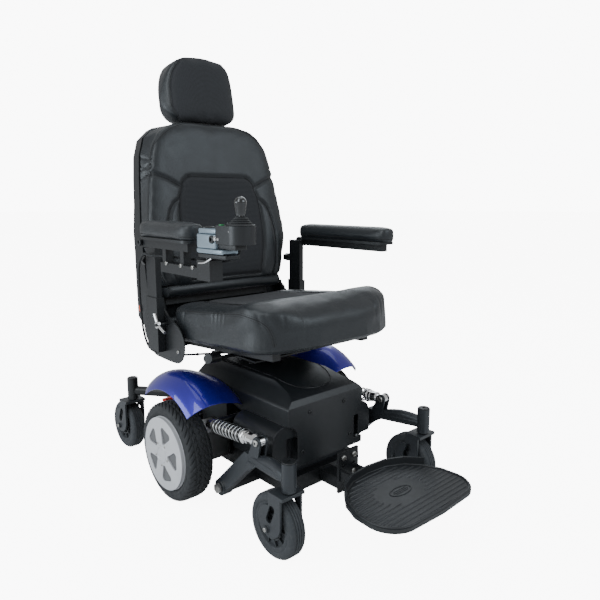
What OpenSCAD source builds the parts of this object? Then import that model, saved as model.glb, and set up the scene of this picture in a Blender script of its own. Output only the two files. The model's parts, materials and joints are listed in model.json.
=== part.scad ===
// Power wheelchair with mid-wheel drive, sprung front casters, a captain seat
// on a swivel post, flip-up armrests, a swing-away joystick and a flip-up
// footplate. The user faces -Y. Parts are drawn with the drive axle over Y = 0
// and moved at the end, so that the origin is on the floor under the middle.

/* [Wheels] */
// Diameter of the drive tyres
drive_d = 260; // [254:1:262]
// Width of the drive tyres
drive_w = 70; // [66:1:70]
// Sideways distance from the middle to a drive tyre's middle
drive_x = 267; // [266:1:272]
// Diameter of the caster wheels
caster_d = 150; // [144:1:150]
// Width of the caster wheels
caster_w = 42; // [36:1:42]
// Distance that a caster wheel trails behind its stem
caster_trail = 38; // [34:1:38]
// Sideways distance of the front caster stems
front_stem_x = 235; // [233:1:237]
// Distance of the front caster stems ahead of the drive axle
front_stem_y = 414; // [412:1:416]
// Sideways distance of the rear caster stems
rear_stem_x = 220; // [218:1:222]
// Distance of the rear caster stems behind the drive axle
rear_stem_y = 345; // [343:1:350]

/* [Base] */
// Half of the shroud's width
shroud_hw = 130; // [129:1:131]
// Height of the shroud's crown
shroud_top = 343; // [338:1:343]
// Wall thickness of plastic covers
wall = 3; // [2.5:0.5:3]
// Height of the front arms' pivot
arm_pivot_z = 64; // [62:1:66]
// Distance of the front arms' pivot ahead of the drive axle
arm_pivot_y = 140; // [138:1:142]

/* [Seat] */
// Half of the seat cushion's width
seat_hw = 225; // [220:1:226]
// Thickness of the seat cushion
seat_t = 104; // [96:1:104]
// Height of the seat plane over the seat post
seat_z = 411; // [411:1:416]
// Backward tilt of the seat plane in degrees
seat_tilt = 4.5; // [4:0.5:5]
// Backward lean of the backrest from upright in degrees
back_lean = 9; // [8:0.5:9]
// Largest half width of the backrest
back_hw = 236; // [230:1:236]

/* [Armrests] */
// Sideways distance from the middle to an arm pad's middle
arm_x = 272; // [272:1:274]
// Width of an arm pad
pad_w = 58; // [50:1:58]
// Length of the left arm pad
pad_len_left = 350; // [330:1:352]
// Length of the right arm pad, shorter because the joystick is ahead of it
pad_len_right = 232; // [220:1:232]
// Height of the left arm bar's middle
arm_bar_z = 643; // [643:1:650]
// How much higher the right armrest is set
right_raise = 24; // [20:1:24]

/* [Footplate] */
// Half of the footplate's width
foot_hw = 160; // [150:1:160]
// Sideways offset of the footplate on its bracket
foot_x = 12; // [0:1:12]
// Height of the footplate's top face
foot_z = 124; // [122:1:126]
// Distance of the footplate's front edge ahead of the drive axle
foot_front = 634; // [630:1:640]

/* [Hidden] */

$fn = 64;
fit = 0.06;          // radial clearance of a turning fit
slide = 0.3;         // clearance of a sliding fit
eps = 0.5;           // overrun of a cut past a face

left = 1;
right = -1;

// Wheels and casters
drive_r = drive_d / 2;
caster_r = caster_d / 2;
rim_r = 93;
shaft_r = 8.5;
stem_r = 10;
stem_low = 168;
stem_high = 232;
stem_tube_r = 16.5;
crown_t = 8;
crown_top = 164;
fork_gap = caster_w / 2 + 5;
fork_leg_t = 6;
axle_r = 5;
rear_end = rear_stem_y + caster_trail + caster_r;
middle_y = (rear_end - foot_front) / 2;

// Frame
rail_x = 113;
rail_w = 24;
rail_z = 62;
rail_h = 40;
rail_front = -285;
rail_rear = 270;
post_y = -24;
post_r = 25;
socket_r = 30;
socket_top = 347.5;
pod_mid_x = 135;
pod_mid_z = 204;
pod_r = 36;
pod_front = -280;
pod_back = -118;
tray_z = 84;
battery_len = 128;
battery_front_y = -258;
battery_rear_y = 17;
beam_z = 185;
beam_y = 258;

// Front suspension: rear eye on the frame, front eye on the arm
eye_rear = [-90, 214];
eye_front = [-292, 232];
arm_mid_x = 216;
shock_len = norm(eye_front - eye_rear);
shock_rise = atan2(eye_front[1] - eye_rear[1], eye_rear[0] - eye_front[0]);
rod_r = 5;
spring_r = 15.5;
spring_wire = 2.4;
spring_start = 24;
spring_len = 122;
spring_turns = 10;
body_start = spring_start + spring_len;

// Seat and back
seat_front = 326;     // ahead of the post
seat_rear = 122;      // behind the post
rail_seat_x = 152;
hinge_y = 110;
hinge_z = 450;
hinge_r = 8;
back_low = 88;
back_high = 553;
back_t = 62;
shell_rear = 98;
hip_rear = 140;
head_low = 560;
head_high = 746;
head_hw = 124;
head_rod_x = 60;
head_rod_y = 79;
head_rod_r = 6;

// Armrests and joystick
arm_pivot = [113, arm_bar_z];
pad_rear = 95;
pad_t = 43;
bar_h = 22;
post_x = 252;
arm_post_t = 16;
arm_post_d = 50;
arm_post_low = 432;
receiver_top = 520;
swing_y = -190;
stick_y = -303;
stick_z = 711;
pod_low = 684;
pod_top = 722;
pod_hw = 31;
pod_rear = 53;
button_r = 6;
button_y = 40;

foot_hinge = [-400, 116];

// ---------------------------------------------------------------- helpers

function arc(c, r, a0, a1, n = 8) =
    [for (i = [0:n]) c + r * [cos(a0 + (a1 - a0) * i / n), sin(a0 + (a1 - a0) * i / n)]];

// Closed outline from the right half of a symmetric shape, listed upwards
function both_sides(half) =
    concat(half, [for (i = [len(half) - 1:-1:0]) [-half[i][0], half[i][1]]]);

function spline_at(p, i, t) =
    let (n = len(p) - 1,
         a = p[max(i - 1, 0)], b = p[i], c = p[min(i + 1, n)], d = p[min(i + 2, n)])
    0.5 * (2 * b + (c - a) * t + (2 * a - 5 * b + 4 * c - d) * t * t
           + (3 * b - a - 3 * c + d) * t * t * t);

// Smooth open curve through the points
function spline(p, steps) = concat(
    [for (i = [0:len(p) - 2]) for (k = [0:steps - 1]) spline_at(p, i, k / steps)],
    [p[len(p) - 1]]);

function unit(v) = v / norm(v);

// Sideways vectors carried along a path, one for each point
function carried(path, i, v, out = []) =
    i == len(path) ? out :
    let (t = unit(path[min(i + 1, len(path) - 1)] - path[max(i - 1, 0)]),
         n = unit(v - t * (v * t)))
    carried(path, i + 1, n, concat(out, [n]));

module tube_along(path, r, start, sides = 8) {
    n = len(path);
    side = carried(path, 0, start);
    rings = [for (i = [0:n - 1])
        let (t = unit(path[min(i + 1, n - 1)] - path[max(i - 1, 0)]), b = cross(t, side[i]))
        for (k = [0:sides - 1])
            path[i] + r * (cos(360 * k / sides) * side[i] + sin(360 * k / sides) * b)];
    walls = [for (i = [0:n - 2]) for (k = [0:sides - 1])
        let (a = i * sides + k, b = i * sides + (k + 1) % sides) each
            [[a, a + sides, b], [b, a + sides, b + sides]]];
    caps = [[for (k = [0:sides - 1]) k],
            [for (k = [sides - 1:-1:0]) (n - 1) * sides + k]];
    polyhedron(rings, concat(walls, caps));
}

module on_side(side) {
    if (side == left) children();
    else mirror([1, 0, 0]) children();
}

// A cylinder along X between two distances from the middle
module rod_x(x0, x1, r, y, z) {
    translate([x0, y, z]) rotate([0, 90, 0]) cylinder(r = r, h = x1 - x0);
}

// An outline given as [y, z] points, drawn out along X
module slab_x(x0, x1, outline) {
    translate([x0, 0, 0]) rotate([90, 0, 90]) linear_extrude(x1 - x0) polygon(outline);
}

// A straight round bar between two points
module bar_between(a, b, r) {
    d = b - a;
    translate(a) rotate([0, acos(d[2] / norm(d)), atan2(d[1], d[0])]) cylinder(r = r, h = norm(d));
}

module box_between(a, b) {
    translate(a) cube(b - a);
}

// Turns a profile of [radius, sideways] points about the X axis
module turned_x(profile) {
    rotate([0, 90, 0]) rotate_extrude() polygon(profile);
}

module on_seat() {
    translate([0, post_y, seat_z]) rotate([-seat_tilt, 0, 0]) children();
}

module on_back() {
    translate([0, hinge_y, hinge_z]) rotate([-back_lean, 0, 0]) children();
}

module placed() {
    translate([0, -middle_y, 0]) children();
}

// ---------------------------------------------------------------- base

module chassis_frame() {
    color("dimgray") placed() {
        difference() {
            union() {
                for (s = [-1, 1])
                    translate([s * rail_x - rail_w / 2, rail_front, rail_z])
                        cube([rail_w, rail_rear - rail_front, rail_h]);
                box_between([-rail_x, rail_front, rail_z], [rail_x, rail_front + 24, rail_z + rail_h]);
                box_between([-rail_x, battery_front_y, tray_z - 4], [rail_x, 150, tray_z]);
                box_between([-rail_x, post_y - 3, rail_z], [rail_x, post_y + 3, 160]);
                box_between([-140, beam_y - 15, beam_z - 15], [140, beam_y + 15, beam_z + 15]);
                rod_x(-199, 199, 18, -arm_pivot_y, arm_pivot_z);
                translate([0, post_y, rail_z]) cylinder(r = socket_r, h = socket_top - rail_z);
                for (s = [-1, 1]) {
                    translate([s * rail_x - rail_w / 2, rail_rear - 24, rail_z])
                        cube([rail_w, 24, beam_z - 15 - rail_z]);
                    on_side(s) {
                        bar_between([130, beam_y + 2, beam_z],
                                    [rear_stem_x, rear_stem_y, beam_z + 8], 14);
                        translate([rear_stem_x, rear_stem_y, stem_low])
                            cylinder(r = stem_tube_r, h = stem_high - stem_low);
                        box_between([125, -46, 88], [131, 46, 172]);
                        slab_x(125, 131, [[-112, 64], [-66, 64], [-66, 100],
                                          [-78, 222], [-102, 222], [-112, 180]]);
                        rod_x(128, 205, 8, eye_rear[0], eye_rear[1]);
                        rod_x(204, 230, axle_r, eye_rear[0], eye_rear[1]);
                    }
                }
            }
            translate([0, post_y, rail_z + 10]) cylinder(r = post_r + fit, h = socket_top);
            for (s = [-1, 1]) on_side(s) {
                rod_x(150, 200, 8, -arm_pivot_y, arm_pivot_z);
                translate([rear_stem_x, rear_stem_y, stem_low - 1])
                    cylinder(r = stem_r + fit, h = stem_high - stem_low - 5);
            }
        }
    }
}

// Side view of the shroud, pulled in by t
function shroud_side(t) = [
    [-290 + t, 131 - eps * t], [-232 - t, 131 - eps * t], [-226 - t, 200 - eps * t],
    [-60, 240 - eps * t], [114 - t, 240 - eps * t], [114 - t, 308 - t], [106 - t, 322 - t],
    [40, shroud_top - t], [-60, shroud_top - t], [-180, 330 - t], [-262, 309 - t],
    [-282 + t, 299 - t], [-290 + t, 284 - t]
];

// Front view of the shroud, pulled in by t
function shroud_front(t) = both_sides([
    [shroud_hw - t, 120 - eps * t], [shroud_hw - t, 281 - t], [shroud_hw - 4 - t, 288 - t],
    [97 - t / 2, 313 - t], [90 - t / 2, 327 - t], [60, 338 - t], [20, shroud_top + 2 - t]
]);

module shroud_block(t) {
    intersection() {
        slab_x(-shroud_hw - 1, shroud_hw + 1, shroud_side(t));
        translate([0, 140, 0]) rotate([90, 0, 0]) linear_extrude(450) polygon(shroud_front(t));
    }
}

// Rolled side pod of the skirt, as a solid pulled in by t
module side_pods(t, front, rear) {
    arch = concat([[-pod_r + t, 150 - eps * t]], arc([0, pod_mid_z], pod_r - t, 180, 0, 12),
                  [[pod_r - t, 150 - eps * t]]);
    for (s = [-1, 1]) translate([s * pod_mid_x, rear - t, 0]) rotate([90, 0, 0])
        linear_extrude(rear - front - 2 * t) polygon(arch);
}

module base_shroud() {
    color("#202123") placed() difference() {
        union() {
            difference() {
                shroud_block(0);
                side_pods(0, -300, pod_front);
            }
            side_pods(0, pod_front, pod_back);
        }
        difference() {
            shroud_block(wall);
            side_pods(-wall, -300, pod_front);
        }
        side_pods(wall, pod_front, pod_back);
        // The skirt is open below and behind
        slab_x(-shroud_hw + wall, shroud_hw - wall,
               [[-287, 120], [111, 120], [111, 245], [-60, 245], [-225, 206], [-287, 206]]);
        for (s = [-1, 1]) on_side(s)
            box_between([pod_mid_x - pod_r + wall, pod_front + wall, 140],
                        [pod_mid_x + pod_r - wall, pod_back - wall, 152]);
        box_between([-shroud_hw + wall, 100, 235], [shroud_hw - wall, 120, 285]);
        translate([0, post_y, 250]) cylinder(r = socket_r + 4, h = 120);
    }
}

// Fender cross section as [distance from the axle, distance from the middle]
fender_edge = spline([[160, 130], [176, 150], [190, 180], [203, 215], [206, 245], [198, 270],
                      [181, 290], [166, 299]], 3);

module fender(side) {
    n = len(fender_edge) - 1;
    inner = [for (i = [n:-1:0])
        let (d = unit(fender_edge[min(i + 1, n)] - fender_edge[max(i - 1, 0)]))
        fender_edge[i] + wall * [-d[1], d[0]]];
    color("#1b1fb4") placed() on_side(side)
        translate([0, 0, drive_r]) rotate([0, 90, 0]) rotate([0, 0, 142])
            rotate_extrude(angle = 80) polygon(concat(fender_edge, inner));
}

module fender_right() { fender(right); }
module fender_left() { fender(left); }

module batteries() {
    color("#3a3c40") placed() for (y = [battery_front_y, battery_rear_y]) {
        box_between([-96, y, tray_z], [96, y + battery_len, tray_z + 168]);
        for (s = [-1, 1])
            translate([s * 70, y + battery_len / 2, tray_z + 168]) cylinder(r = 7, h = 9);
    }
}

module gearmotor(side) {
    motor_x = 172;
    color("#8d9094") placed() on_side(side) difference() {
        union() {
            box_between([131, -44, 90], [204, 44, 170]);
            rod_x(200, 226, 24, 0, drive_r);
            translate([motor_x, 40, drive_r]) rotate([-90, 0, 0]) cylinder(r = 38, h = 160);
            translate([motor_x, 200, drive_r]) rotate([-90, 0, 0]) cylinder(r = 29, h = 20);
            box_between([motor_x - 12, 150, drive_r + 30], [motor_x + 12, 176, drive_r + 48]);
        }
        rod_x(148, 227, shaft_r + fit, 0, drive_r);
        rod_x(motor_x - 13, motor_x + 13, 3 + fit, 163, drive_r + 44);
    }
}

module gearmotor_right() { gearmotor(right); }
module gearmotor_left() { gearmotor(left); }

module freewheel_lever(side) {
    color("#c8281e") placed() on_side(side) translate([0, 163, drive_r + 44]) {
        rod_x(156, 189, 3, 0, 0);
        for (x = [156, 184.4]) slab_x(x, x + 3.6, [[-6, -6], [6, -6], [52, 10], [52, 18], [0, 8], [-6, 4]]);
        box_between([156, 46, 10], [188, 56, 18]);
    }
}

module freewheel_lever_right() { freewheel_lever(right); }
module freewheel_lever_left() { freewheel_lever(left); }

module power_module() {
    color("#2a2b2e") placed() {
        box_between([-108, 160, rail_z + rail_h], [108, 238, 134]);
        for (x = [-100:20:100]) box_between([x - 3, 163, 134], [x + 3, 235, 144]);
    }
}

module pivot_bolts() {
    color("silver") placed() for (s = [-1, 1]) on_side(s) {
        rod_x(150, 231, 8, -arm_pivot_y, arm_pivot_z);
        translate([231, -arm_pivot_y, arm_pivot_z]) rotate([0, 90, 0])
            cylinder(r = 13, h = 8, $fn = 6);
    }
}

module footplate_bracket() {
    color("#26272a") placed() difference() {
        union() {
            box_between([-20, -362, 68], [20, rail_front, 98]);
            box_between([-34, -366, 68], [34, -359, 172]);
            for (s = [-1, 1]) on_side(s)
                slab_x(23, 30, concat([[-364, 98], [-364, 126]],
                                      arc(foot_hinge, 11, 80, 280, 8)));
        }
        for (x = [-18, 18]) for (z = [112, 134, 156])
            translate([x, -350, z]) rotate([90, 0, 0]) cylinder(r = 4.2, h = 20);
        rod_x(-31, 31, 5 + fit, foot_hinge[0], foot_hinge[1]);
    }
}

// ---------------------------------------------------------------- wheels

module drive_tyre(side) {
    h = drive_w / 2;
    half = concat([[rim_r, 27], [96, 27], [102, h - 2], [108, h]],
                  arc([drive_r - 15, h - 15], 15, 90, 8, 8), [[drive_r, 12]]);
    profile = concat(half, [for (i = [len(half) - 1:-1:0]) [half[i][0], -half[i][1]]]);
    color("#3b3d40") placed() on_side(side)
        translate([drive_x, 0, drive_r]) turned_x(profile);
}

module drive_tyre_right() { drive_tyre(right); }
module drive_tyre_left() { drive_tyre(left); }

module drive_rim(side) {
    color("#9a9da1") placed() on_side(side) {
        translate([drive_x, 0, drive_r]) turned_x([
            [0, -32], [20, -32], [24, 4], [84, 4], [87, -27], [rim_r, -27],
            [rim_r, 27], [89, 27], [86, 12], [0, 12]]);
        rod_x(150, drive_x - 30, shaft_r, 0, drive_r);
    }
}

module drive_rim_right() { drive_rim(right); }
module drive_rim_left() { drive_rim(left); }

// Domed cap with five rounded windows
module hubcap(side) {
    cap_x = 27;
    dome = [for (i = [0:8]) let (r = 95 * (1 - i / 8)) [r, cap_x + 14 + 4 * cos(90 * r / 95)]];
    color("#d5d8dc") placed() on_side(side) translate([drive_x, 0, drive_r]) difference() {
        turned_x(concat([[0, cap_x + 8], [88, cap_x + 6], [90, cap_x], [95, cap_x]], dome));
        for (k = [0:4]) rotate([72 * k + 18, 0, 0])
            translate([cap_x + 13, 0, 0]) rotate([90, 0, 90]) linear_extrude(20)
                polygon(concat(arc([0, 36], 7, 180, 360, 6), arc([14, 62], 9, -20, 80, 5),
                               arc([-14, 62], 9, 100, 200, 5)));
    }
}

module hubcap_right() { hubcap(right); }
module hubcap_left() { hubcap(left); }

// Fork with a broad leaf on each side, slotted over the hub
module fork(side, x, y) {
    leaf = [30, 96];
    slot = concat(arc([20, 127], 8.5, 22, 202), arc([31, 100], 8.5, 202, 382));
    color("#232427") placed() on_side(side) translate([x, y, 0]) {
        translate([0, 0, crown_top - 2]) cylinder(r = stem_r, h = 56);
        box_between([-fork_gap - fork_leg_t, -15, crown_top - crown_t],
                    [fork_gap + fork_leg_t, 33, crown_top]);
        for (x0 = [-fork_gap - fork_leg_t, fork_gap]) difference() {
            union() {
                rod_x(x0, x0 + fork_leg_t, 37, leaf[0], leaf[1]);
                rod_x(x0, x0 + fork_leg_t, 14, caster_trail, caster_r);
                box_between([x0, -7, leaf[1]], [x0 + fork_leg_t, 33, crown_top - 1]);
            }
            slab_x(x0 - 1, x0 + fork_leg_t + 1, slot);
        }
        rod_x(-fork_gap - fork_leg_t - 2, fork_gap + fork_leg_t + 2, axle_r, caster_trail, caster_r);
        for (x0 = [-fork_gap - fork_leg_t - 5, fork_gap + fork_leg_t])
            translate([x0, caster_trail, caster_r]) rotate([0, 90, 0])
                cylinder(r = 9, h = 5, $fn = 6);
    }
}

module fork_front_right() { fork(right, front_stem_x, -front_stem_y); }
module fork_front_left() { fork(left, front_stem_x, -front_stem_y); }
module fork_rear_right() { fork(right, rear_stem_x, rear_stem_y); }
module fork_rear_left() { fork(left, rear_stem_x, rear_stem_y); }

// Solid tyre moulded on its hub
module caster(side, x, y) {
    h = caster_w / 2;
    half = concat([[axle_r + fit, h + 4.5], [13, h + 4.5], [15, h - 7], [44, h - 9], [47, h - 2]],
                  arc([caster_r - 13, h - 13], 13, 90, 15, 6));
    profile = concat(half, [for (i = [len(half) - 1:-1:0]) [half[i][0], -half[i][1]]]);
    color("#55585c") placed() on_side(side)
        translate([x, y + caster_trail, caster_r]) turned_x(profile);
}

module caster_front_right() { caster(right, front_stem_x, -front_stem_y); }
module caster_front_left() { caster(left, front_stem_x, -front_stem_y); }
module caster_rear_right() { caster(right, rear_stem_x, rear_stem_y); }
module caster_rear_left() { caster(left, rear_stem_x, rear_stem_y); }

// ---------------------------------------------------------------- suspension

module front_arm(side) {
    p = [-arm_pivot_y, arm_pivot_z];
    color("#4a4c50") placed() on_side(side) difference() {
        union() {
            rod_x(203, 229, 21, p[0], p[1]);
            slab_x(204, 228, [p + [-4, -20], p + [14, 15], [-246, 196], [-282, 192], [-286, 170],
                              [-254, 150]]);
            bar_between([arm_mid_x, -264, 182], [front_stem_x, -front_stem_y, 192], 14);
            translate([front_stem_x, -front_stem_y, stem_low])
                cylinder(r = stem_tube_r, h = stem_high - stem_low);
            for (x = [204, 223])
                slab_x(x, x + 5, concat([[-258, 188], [-296, 188]],
                                        arc(eye_front, 13, 190, 10, 8)));
        }
        rod_x(202, 230, 8 + fit, p[0], p[1]);
        translate([front_stem_x, -front_stem_y, stem_low - 1])
            cylinder(r = stem_r + fit, h = stem_high - stem_low - 5);
        box_between([209, -320, 200], [223, -270, 260]);
    }
    color("silver") placed() on_side(side)
        rod_x(201, 231, 5, eye_front[0], eye_front[1]);
}

module front_arm_right() { front_arm(right); }
module front_arm_left() { front_arm(left); }

// Places a shock drawn along +X from its rear eye
module on_shock(side) {
    placed() translate([side * arm_mid_x, eye_rear[0], eye_rear[1]])
        rotate([0, 0, -90]) rotate([0, -shock_rise, 0]) children();
}

module shock_rod(side) {
    color("#b8bbc0") on_shock(side) difference() {
        union() {
            rotate([90, 0, 0]) translate([0, 0, -8]) cylinder(r = 11, h = 16);
            rotate([0, 90, 0]) translate([0, 0, 8]) cylinder(r = rod_r, h = 146);
            rotate([0, 90, 0]) translate([0, 0, spring_start - 5]) cylinder(r = 17, h = 5);
            rotate([0, 90, 0]) translate([0, 0, 8]) cylinder(r = 9, h = spring_start - 8);
        }
        rotate([90, 0, 0]) translate([0, 0, -10]) cylinder(r = axle_r + fit, h = 20);
    }
}

module shock_rod_right() { shock_rod(right); }
module shock_rod_left() { shock_rod(left); }

// The front pivot is open: the eye clears the arm's pin by 1 mm
module shock_body(side) {
    color("#dfe2e6") on_shock(side) difference() {
        union() {
            rotate([0, 90, 0]) rotate_extrude() polygon([
                [rod_r + fit, body_start], [17, body_start], [17, body_start + 6],
                [13, body_start + 6], [13, body_start + 35], [6, body_start + 35],
                [6, shock_len - 8], [0, shock_len - 8], [0, body_start + 34],
                [rod_r + fit, body_start + 34]]);
            translate([shock_len, 0, 0]) rotate([90, 0, 0]) translate([0, 0, -6])
                cylinder(r = 11.5, h = 12);
        }
        translate([shock_len, 0, 0]) rotate([90, 0, 0]) translate([0, 0, -7])
            cylinder(r = 6, h = 14);
    }
}

module shock_body_right() { shock_body(right); }
module shock_body_left() { shock_body(left); }

module shock_spring(side) {
    rings = spring_turns * 12;
    pitch = (spring_len - 2 * spring_wire) / rings;
    coil = [for (i = [0:rings])
        [spring_start + spring_wire + pitch * i,
         spring_r * cos(30 * i), spring_r * sin(30 * i)]];
    color("#8f9398") on_shock(side) tube_along(coil, spring_wire, [1, 0, 0], 6);
}

module shock_spring_right() { shock_spring(right); }
module shock_spring_left() { shock_spring(left); }

// ---------------------------------------------------------------- seat

module seat_frame() {
    color("#2b2c2f") placed() {
        translate([0, post_y, rail_z + 12]) cylinder(r = post_r, h = 290);
        translate([0, post_y, 348]) cylinder(r = 46, h = 8);
        difference() {
            union() {
                box_between([-98, post_y - 98, 356], [98, post_y + 98, 361]);
                for (s = [-1, 1]) on_side(s)
                    slab_x(70, 76, [[-120, 361], [72, 361], [72, 381], [-120, 396]]);
            }
            translate([-91, -50, 340]) cylinder(r = 4 + fit, h = 40);
        }
        on_seat() {
            for (s = [-1, 1]) translate([s * rail_seat_x - 12, -250, -25]) cube([24, 396, 25]);
            for (y = [-200, 50]) box_between([-rail_seat_x, y, -25], [rail_seat_x, y + 24, -2]);
        }
        box_between([-262, 100, 374], [262, 124, 398]);
        for (s = [-1, 1]) on_side(s) {
            difference() {
                box_between([post_x - 11, 84, 374], [post_x + 11, 142, receiver_top]);
                box_between([post_x - arm_post_t / 2 - slide, 88 - slide, arm_post_low - 4],
                            [post_x + arm_post_t / 2 + slide, 138 + slide, receiver_top + 1]);
            }
            difference() {
                slab_x(226, 231, concat([[88, 376], [136, 376]],
                                        arc([hinge_y, hinge_z], 24, 0, 180, 8)));
                rod_x(225, 232, hinge_r + fit, hinge_y, hinge_z);
            }
        }
        on_side(right) {
            slab_x(231, 238, [[62, 380], [104, 380], [104, 430], [84, 462], [62, 462]]);
            rod_x(236, 275, 4, 72, 452);
        }
    }
}

// Seat outline from above, with the front edge bowed and the corners rounded
function seat_outline(hw, front, rear) = both_sides(concat(
    [[hw * 0.35, -front], [hw * 0.62, -front + 10]],
    arc([hw - 82, -front + 100], 82, -62, 0, 6),
    arc([hw - 56, rear - 56], 56, 0, 90, 5)));

module seat_cushion() {
    color("#1d1d1f") placed() on_seat() translate([0, 0, 0.5]) intersection() {
        linear_extrude(seat_t + 20) polygon(seat_outline(seat_hw, seat_front, seat_rear));
        slab_x(-300, 300, [[-400, 0], [200, 0], [200, seat_t - 14], [-130, seat_t - 8],
                           [-235, seat_t + 12], [-300, seat_t - 6], [-330, seat_t - 42], [-340, 8]]);
    }
}

module seat_lever() {
    pivot = [-91, -50, 366];
    end = [-236, -122, 396];
    color("#3c3e42") placed() {
        translate([pivot[0], pivot[1], 350]) cylinder(r = 4, h = 20);
        bar_between(pivot, end, 4);
        bar_between(pivot + (end - pivot) * 0.76, end + (end - pivot) * 0.06, 12);
    }
}

module recline_lever() {
    color("#e6e8ea") placed() on_side(right) difference() {
        union() {
            rod_x(264.5, 272.5, 9, 72, 452);
            bar_between([268.5, 72, 452], [268.5, 88, 479], 4);
            bar_between([268.5, 72, 452], [268.5, 36, 437], 4);
        }
        rod_x(264, 273, 4 + fit, 72, 452);
    }
}

// Half width of the backrest against the height along it
function back_half(t) = [
    [150 - t, back_low + t], [198 - t, back_low + 6 + t], [212 - t, 120], [222 - t, 165],
    [back_hw - t, 205], [back_hw - t, 255], [228 - t, 320], [216 - t, 395], [210 - t, 432],
    [196 - t, 480], [172 - t, 518], [136 - t, 542 - t], [84 - t, back_high - t]
];

function shell_half(t) = concat(
    [[120, -34 + t], [185 - t, -32 + t], [220 - t, -16 + t], [back_hw - t, 16], [back_hw - t, 120]],
    [[back_hw - t, 255], [229 - t, 330], [222 - t, 400], [214 - t, 462], [198 - t, 510 - t],
     [165 - t, 540 - t], [112 - t, back_high - t]]);

module back_cushion() {
    color("#1d1d1f") placed() on_back()
        translate([0, back_t, 0]) rotate([90, 0, 0]) linear_extrude(back_t)
            polygon(both_sides(back_half(1)));
}

// Rear shell of the backrest: a shallow tray, deeper at the hips
module back_shell() {
    outer = concat([[back_t + 0.5, 560], [back_t + 0.5, 80], [34, 52], [34, -8]],
                   arc([70, -4], 30, 180, 270, 4), arc([hip_rear - 34, 0], 34, 270, 360, 5),
                   [[hip_rear - 14, 110], [shell_rear + 14, 200], [shell_rear, 330],
                    [shell_rear, 560]]);
    inner = concat([[0, 560], [0, wall - 34], [70, wall - 34]],
                   arc([hip_rear - 34, 0], 34 - wall, 270, 360, 5),
                   [[hip_rear - 14 - wall, 110], [shell_rear + 14 - wall, 200],
                    [shell_rear - wall, 330], [shell_rear - wall, 560]]);
    color("#1a1a1c") placed() on_back() difference() {
        intersection() {
            slab_x(-250, 250, outer);
            translate([0, 200, 0]) rotate([90, 0, 0]) linear_extrude(220)
                polygon(both_sides(shell_half(0)));
        }
        intersection() {
            slab_x(-250, 250, inner);
            translate([0, 200, 0]) rotate([90, 0, 0]) linear_extrude(220)
                polygon(both_sides(shell_half(wall)));
        }
        for (s = [-1, 1]) translate([s * head_rod_x, head_rod_y, 500])
            cylinder(r = head_rod_r + 1, h = 60);
    }
}

// Two uprights with a guide tube for each headrest post, and the hinge ears
module back_frame() {
    up_x = 186;
    color("#6f7276") placed() on_back() difference() {
        union() {
            for (s = [-1, 1]) on_side(s) {
                translate([up_x, head_rod_y, 20]) cylinder(r = 10, h = 400);
                translate([head_rod_x, head_rod_y, 380]) cylinder(r = 9, h = 150);
                slab_x(219, 224, concat([[head_rod_y + 10, 90], [head_rod_y - 14, 96]],
                                        arc([0, 0], 18, 140, 300, 8), [[head_rod_y + 10, 40]]));
                box_between([up_x, head_rod_y - 8, 30], [221, head_rod_y + 8, 60]);
                rod_x(222, 233, hinge_r, 0, 0);
            }
            box_between([-up_x, head_rod_y - 8, 400], [up_x, head_rod_y + 8, 420]);
            box_between([-up_x, head_rod_y - 8, 40], [up_x, head_rod_y + 8, 60]);
        }
        for (s = [-1, 1]) translate([s * head_rod_x, head_rod_y, 376])
            cylinder(r = head_rod_r + fit, h = 160);
    }
}

module headrest_posts() {
    color("#d5d8dc") placed() on_back() for (s = [-1, 1])
        translate([s * head_rod_x, head_rod_y, 410]) cylinder(r = head_rod_r, h = 200);
}

module headrest_cushion() {
    front = both_sides(spline([[70, 0], [104, 10], [head_hw, 54], [118, 100], [106, 140],
                               [86, 170], [54, 184], [12, head_high - head_low]], 3));
    plan = both_sides(concat(spline([[10, 4], [70, 12], [104, 34], [head_hw, 62]], 3),
                             arc([head_hw - 32, 68], 32, 0, 90, 5)));
    color("#1d1d1f") placed() on_back() difference() {
        intersection() {
            translate([0, 110, head_low]) rotate([90, 0, 0]) linear_extrude(120) polygon(front);
            translate([0, 0, head_low - 1]) linear_extrude(200) polygon(plan);
        }
        for (s = [-1, 1]) translate([s * head_rod_x, head_rod_y, head_low - 1])
            cylinder(r = head_rod_r, h = 51);
    }
}

// ---------------------------------------------------------------- armrests

function raise(side) = side == right ? right_raise : 0;
function pad_len(side) = side == right ? pad_len_right : pad_len_left;

module arm_post(side) {
    color("#2b2c2f") placed() on_side(side) translate([0, 0, raise(side)]) {
        box_between([post_x - arm_post_t / 2, 88, arm_post_low], [post_x + arm_post_t / 2, 138, 648]);
        rod_x(post_x, 288, 6, arm_pivot[0], arm_pivot[1]);
        bar_between([post_x, 137, 590], [post_x, 152, 590], 5);
        translate([post_x, 150, 590]) rotate([-90, 0, 0]) cylinder(r = 13, h = 16, $fn = 5);
    }
}

module arm_post_right() { arm_post(right); }
module arm_post_left() { arm_post(left); }

module arm_bar(side) {
    front = pad_rear - pad_len(side) + 20;
    color("#232427") placed() on_side(side) translate([0, 0, raise(side)]) difference() {
        union() {
            box_between([262, front, arm_bar_z - bar_h / 2], [284, 112, arm_bar_z + bar_h / 2]);
            rod_x(262, 284, 15, arm_pivot[0], arm_pivot[1]);
        }
        rod_x(261, 285, 6 + fit, arm_pivot[0], arm_pivot[1]);
    }
}

module arm_bar_right() { arm_bar(right); }
module arm_bar_left() { arm_bar(left); }

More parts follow.
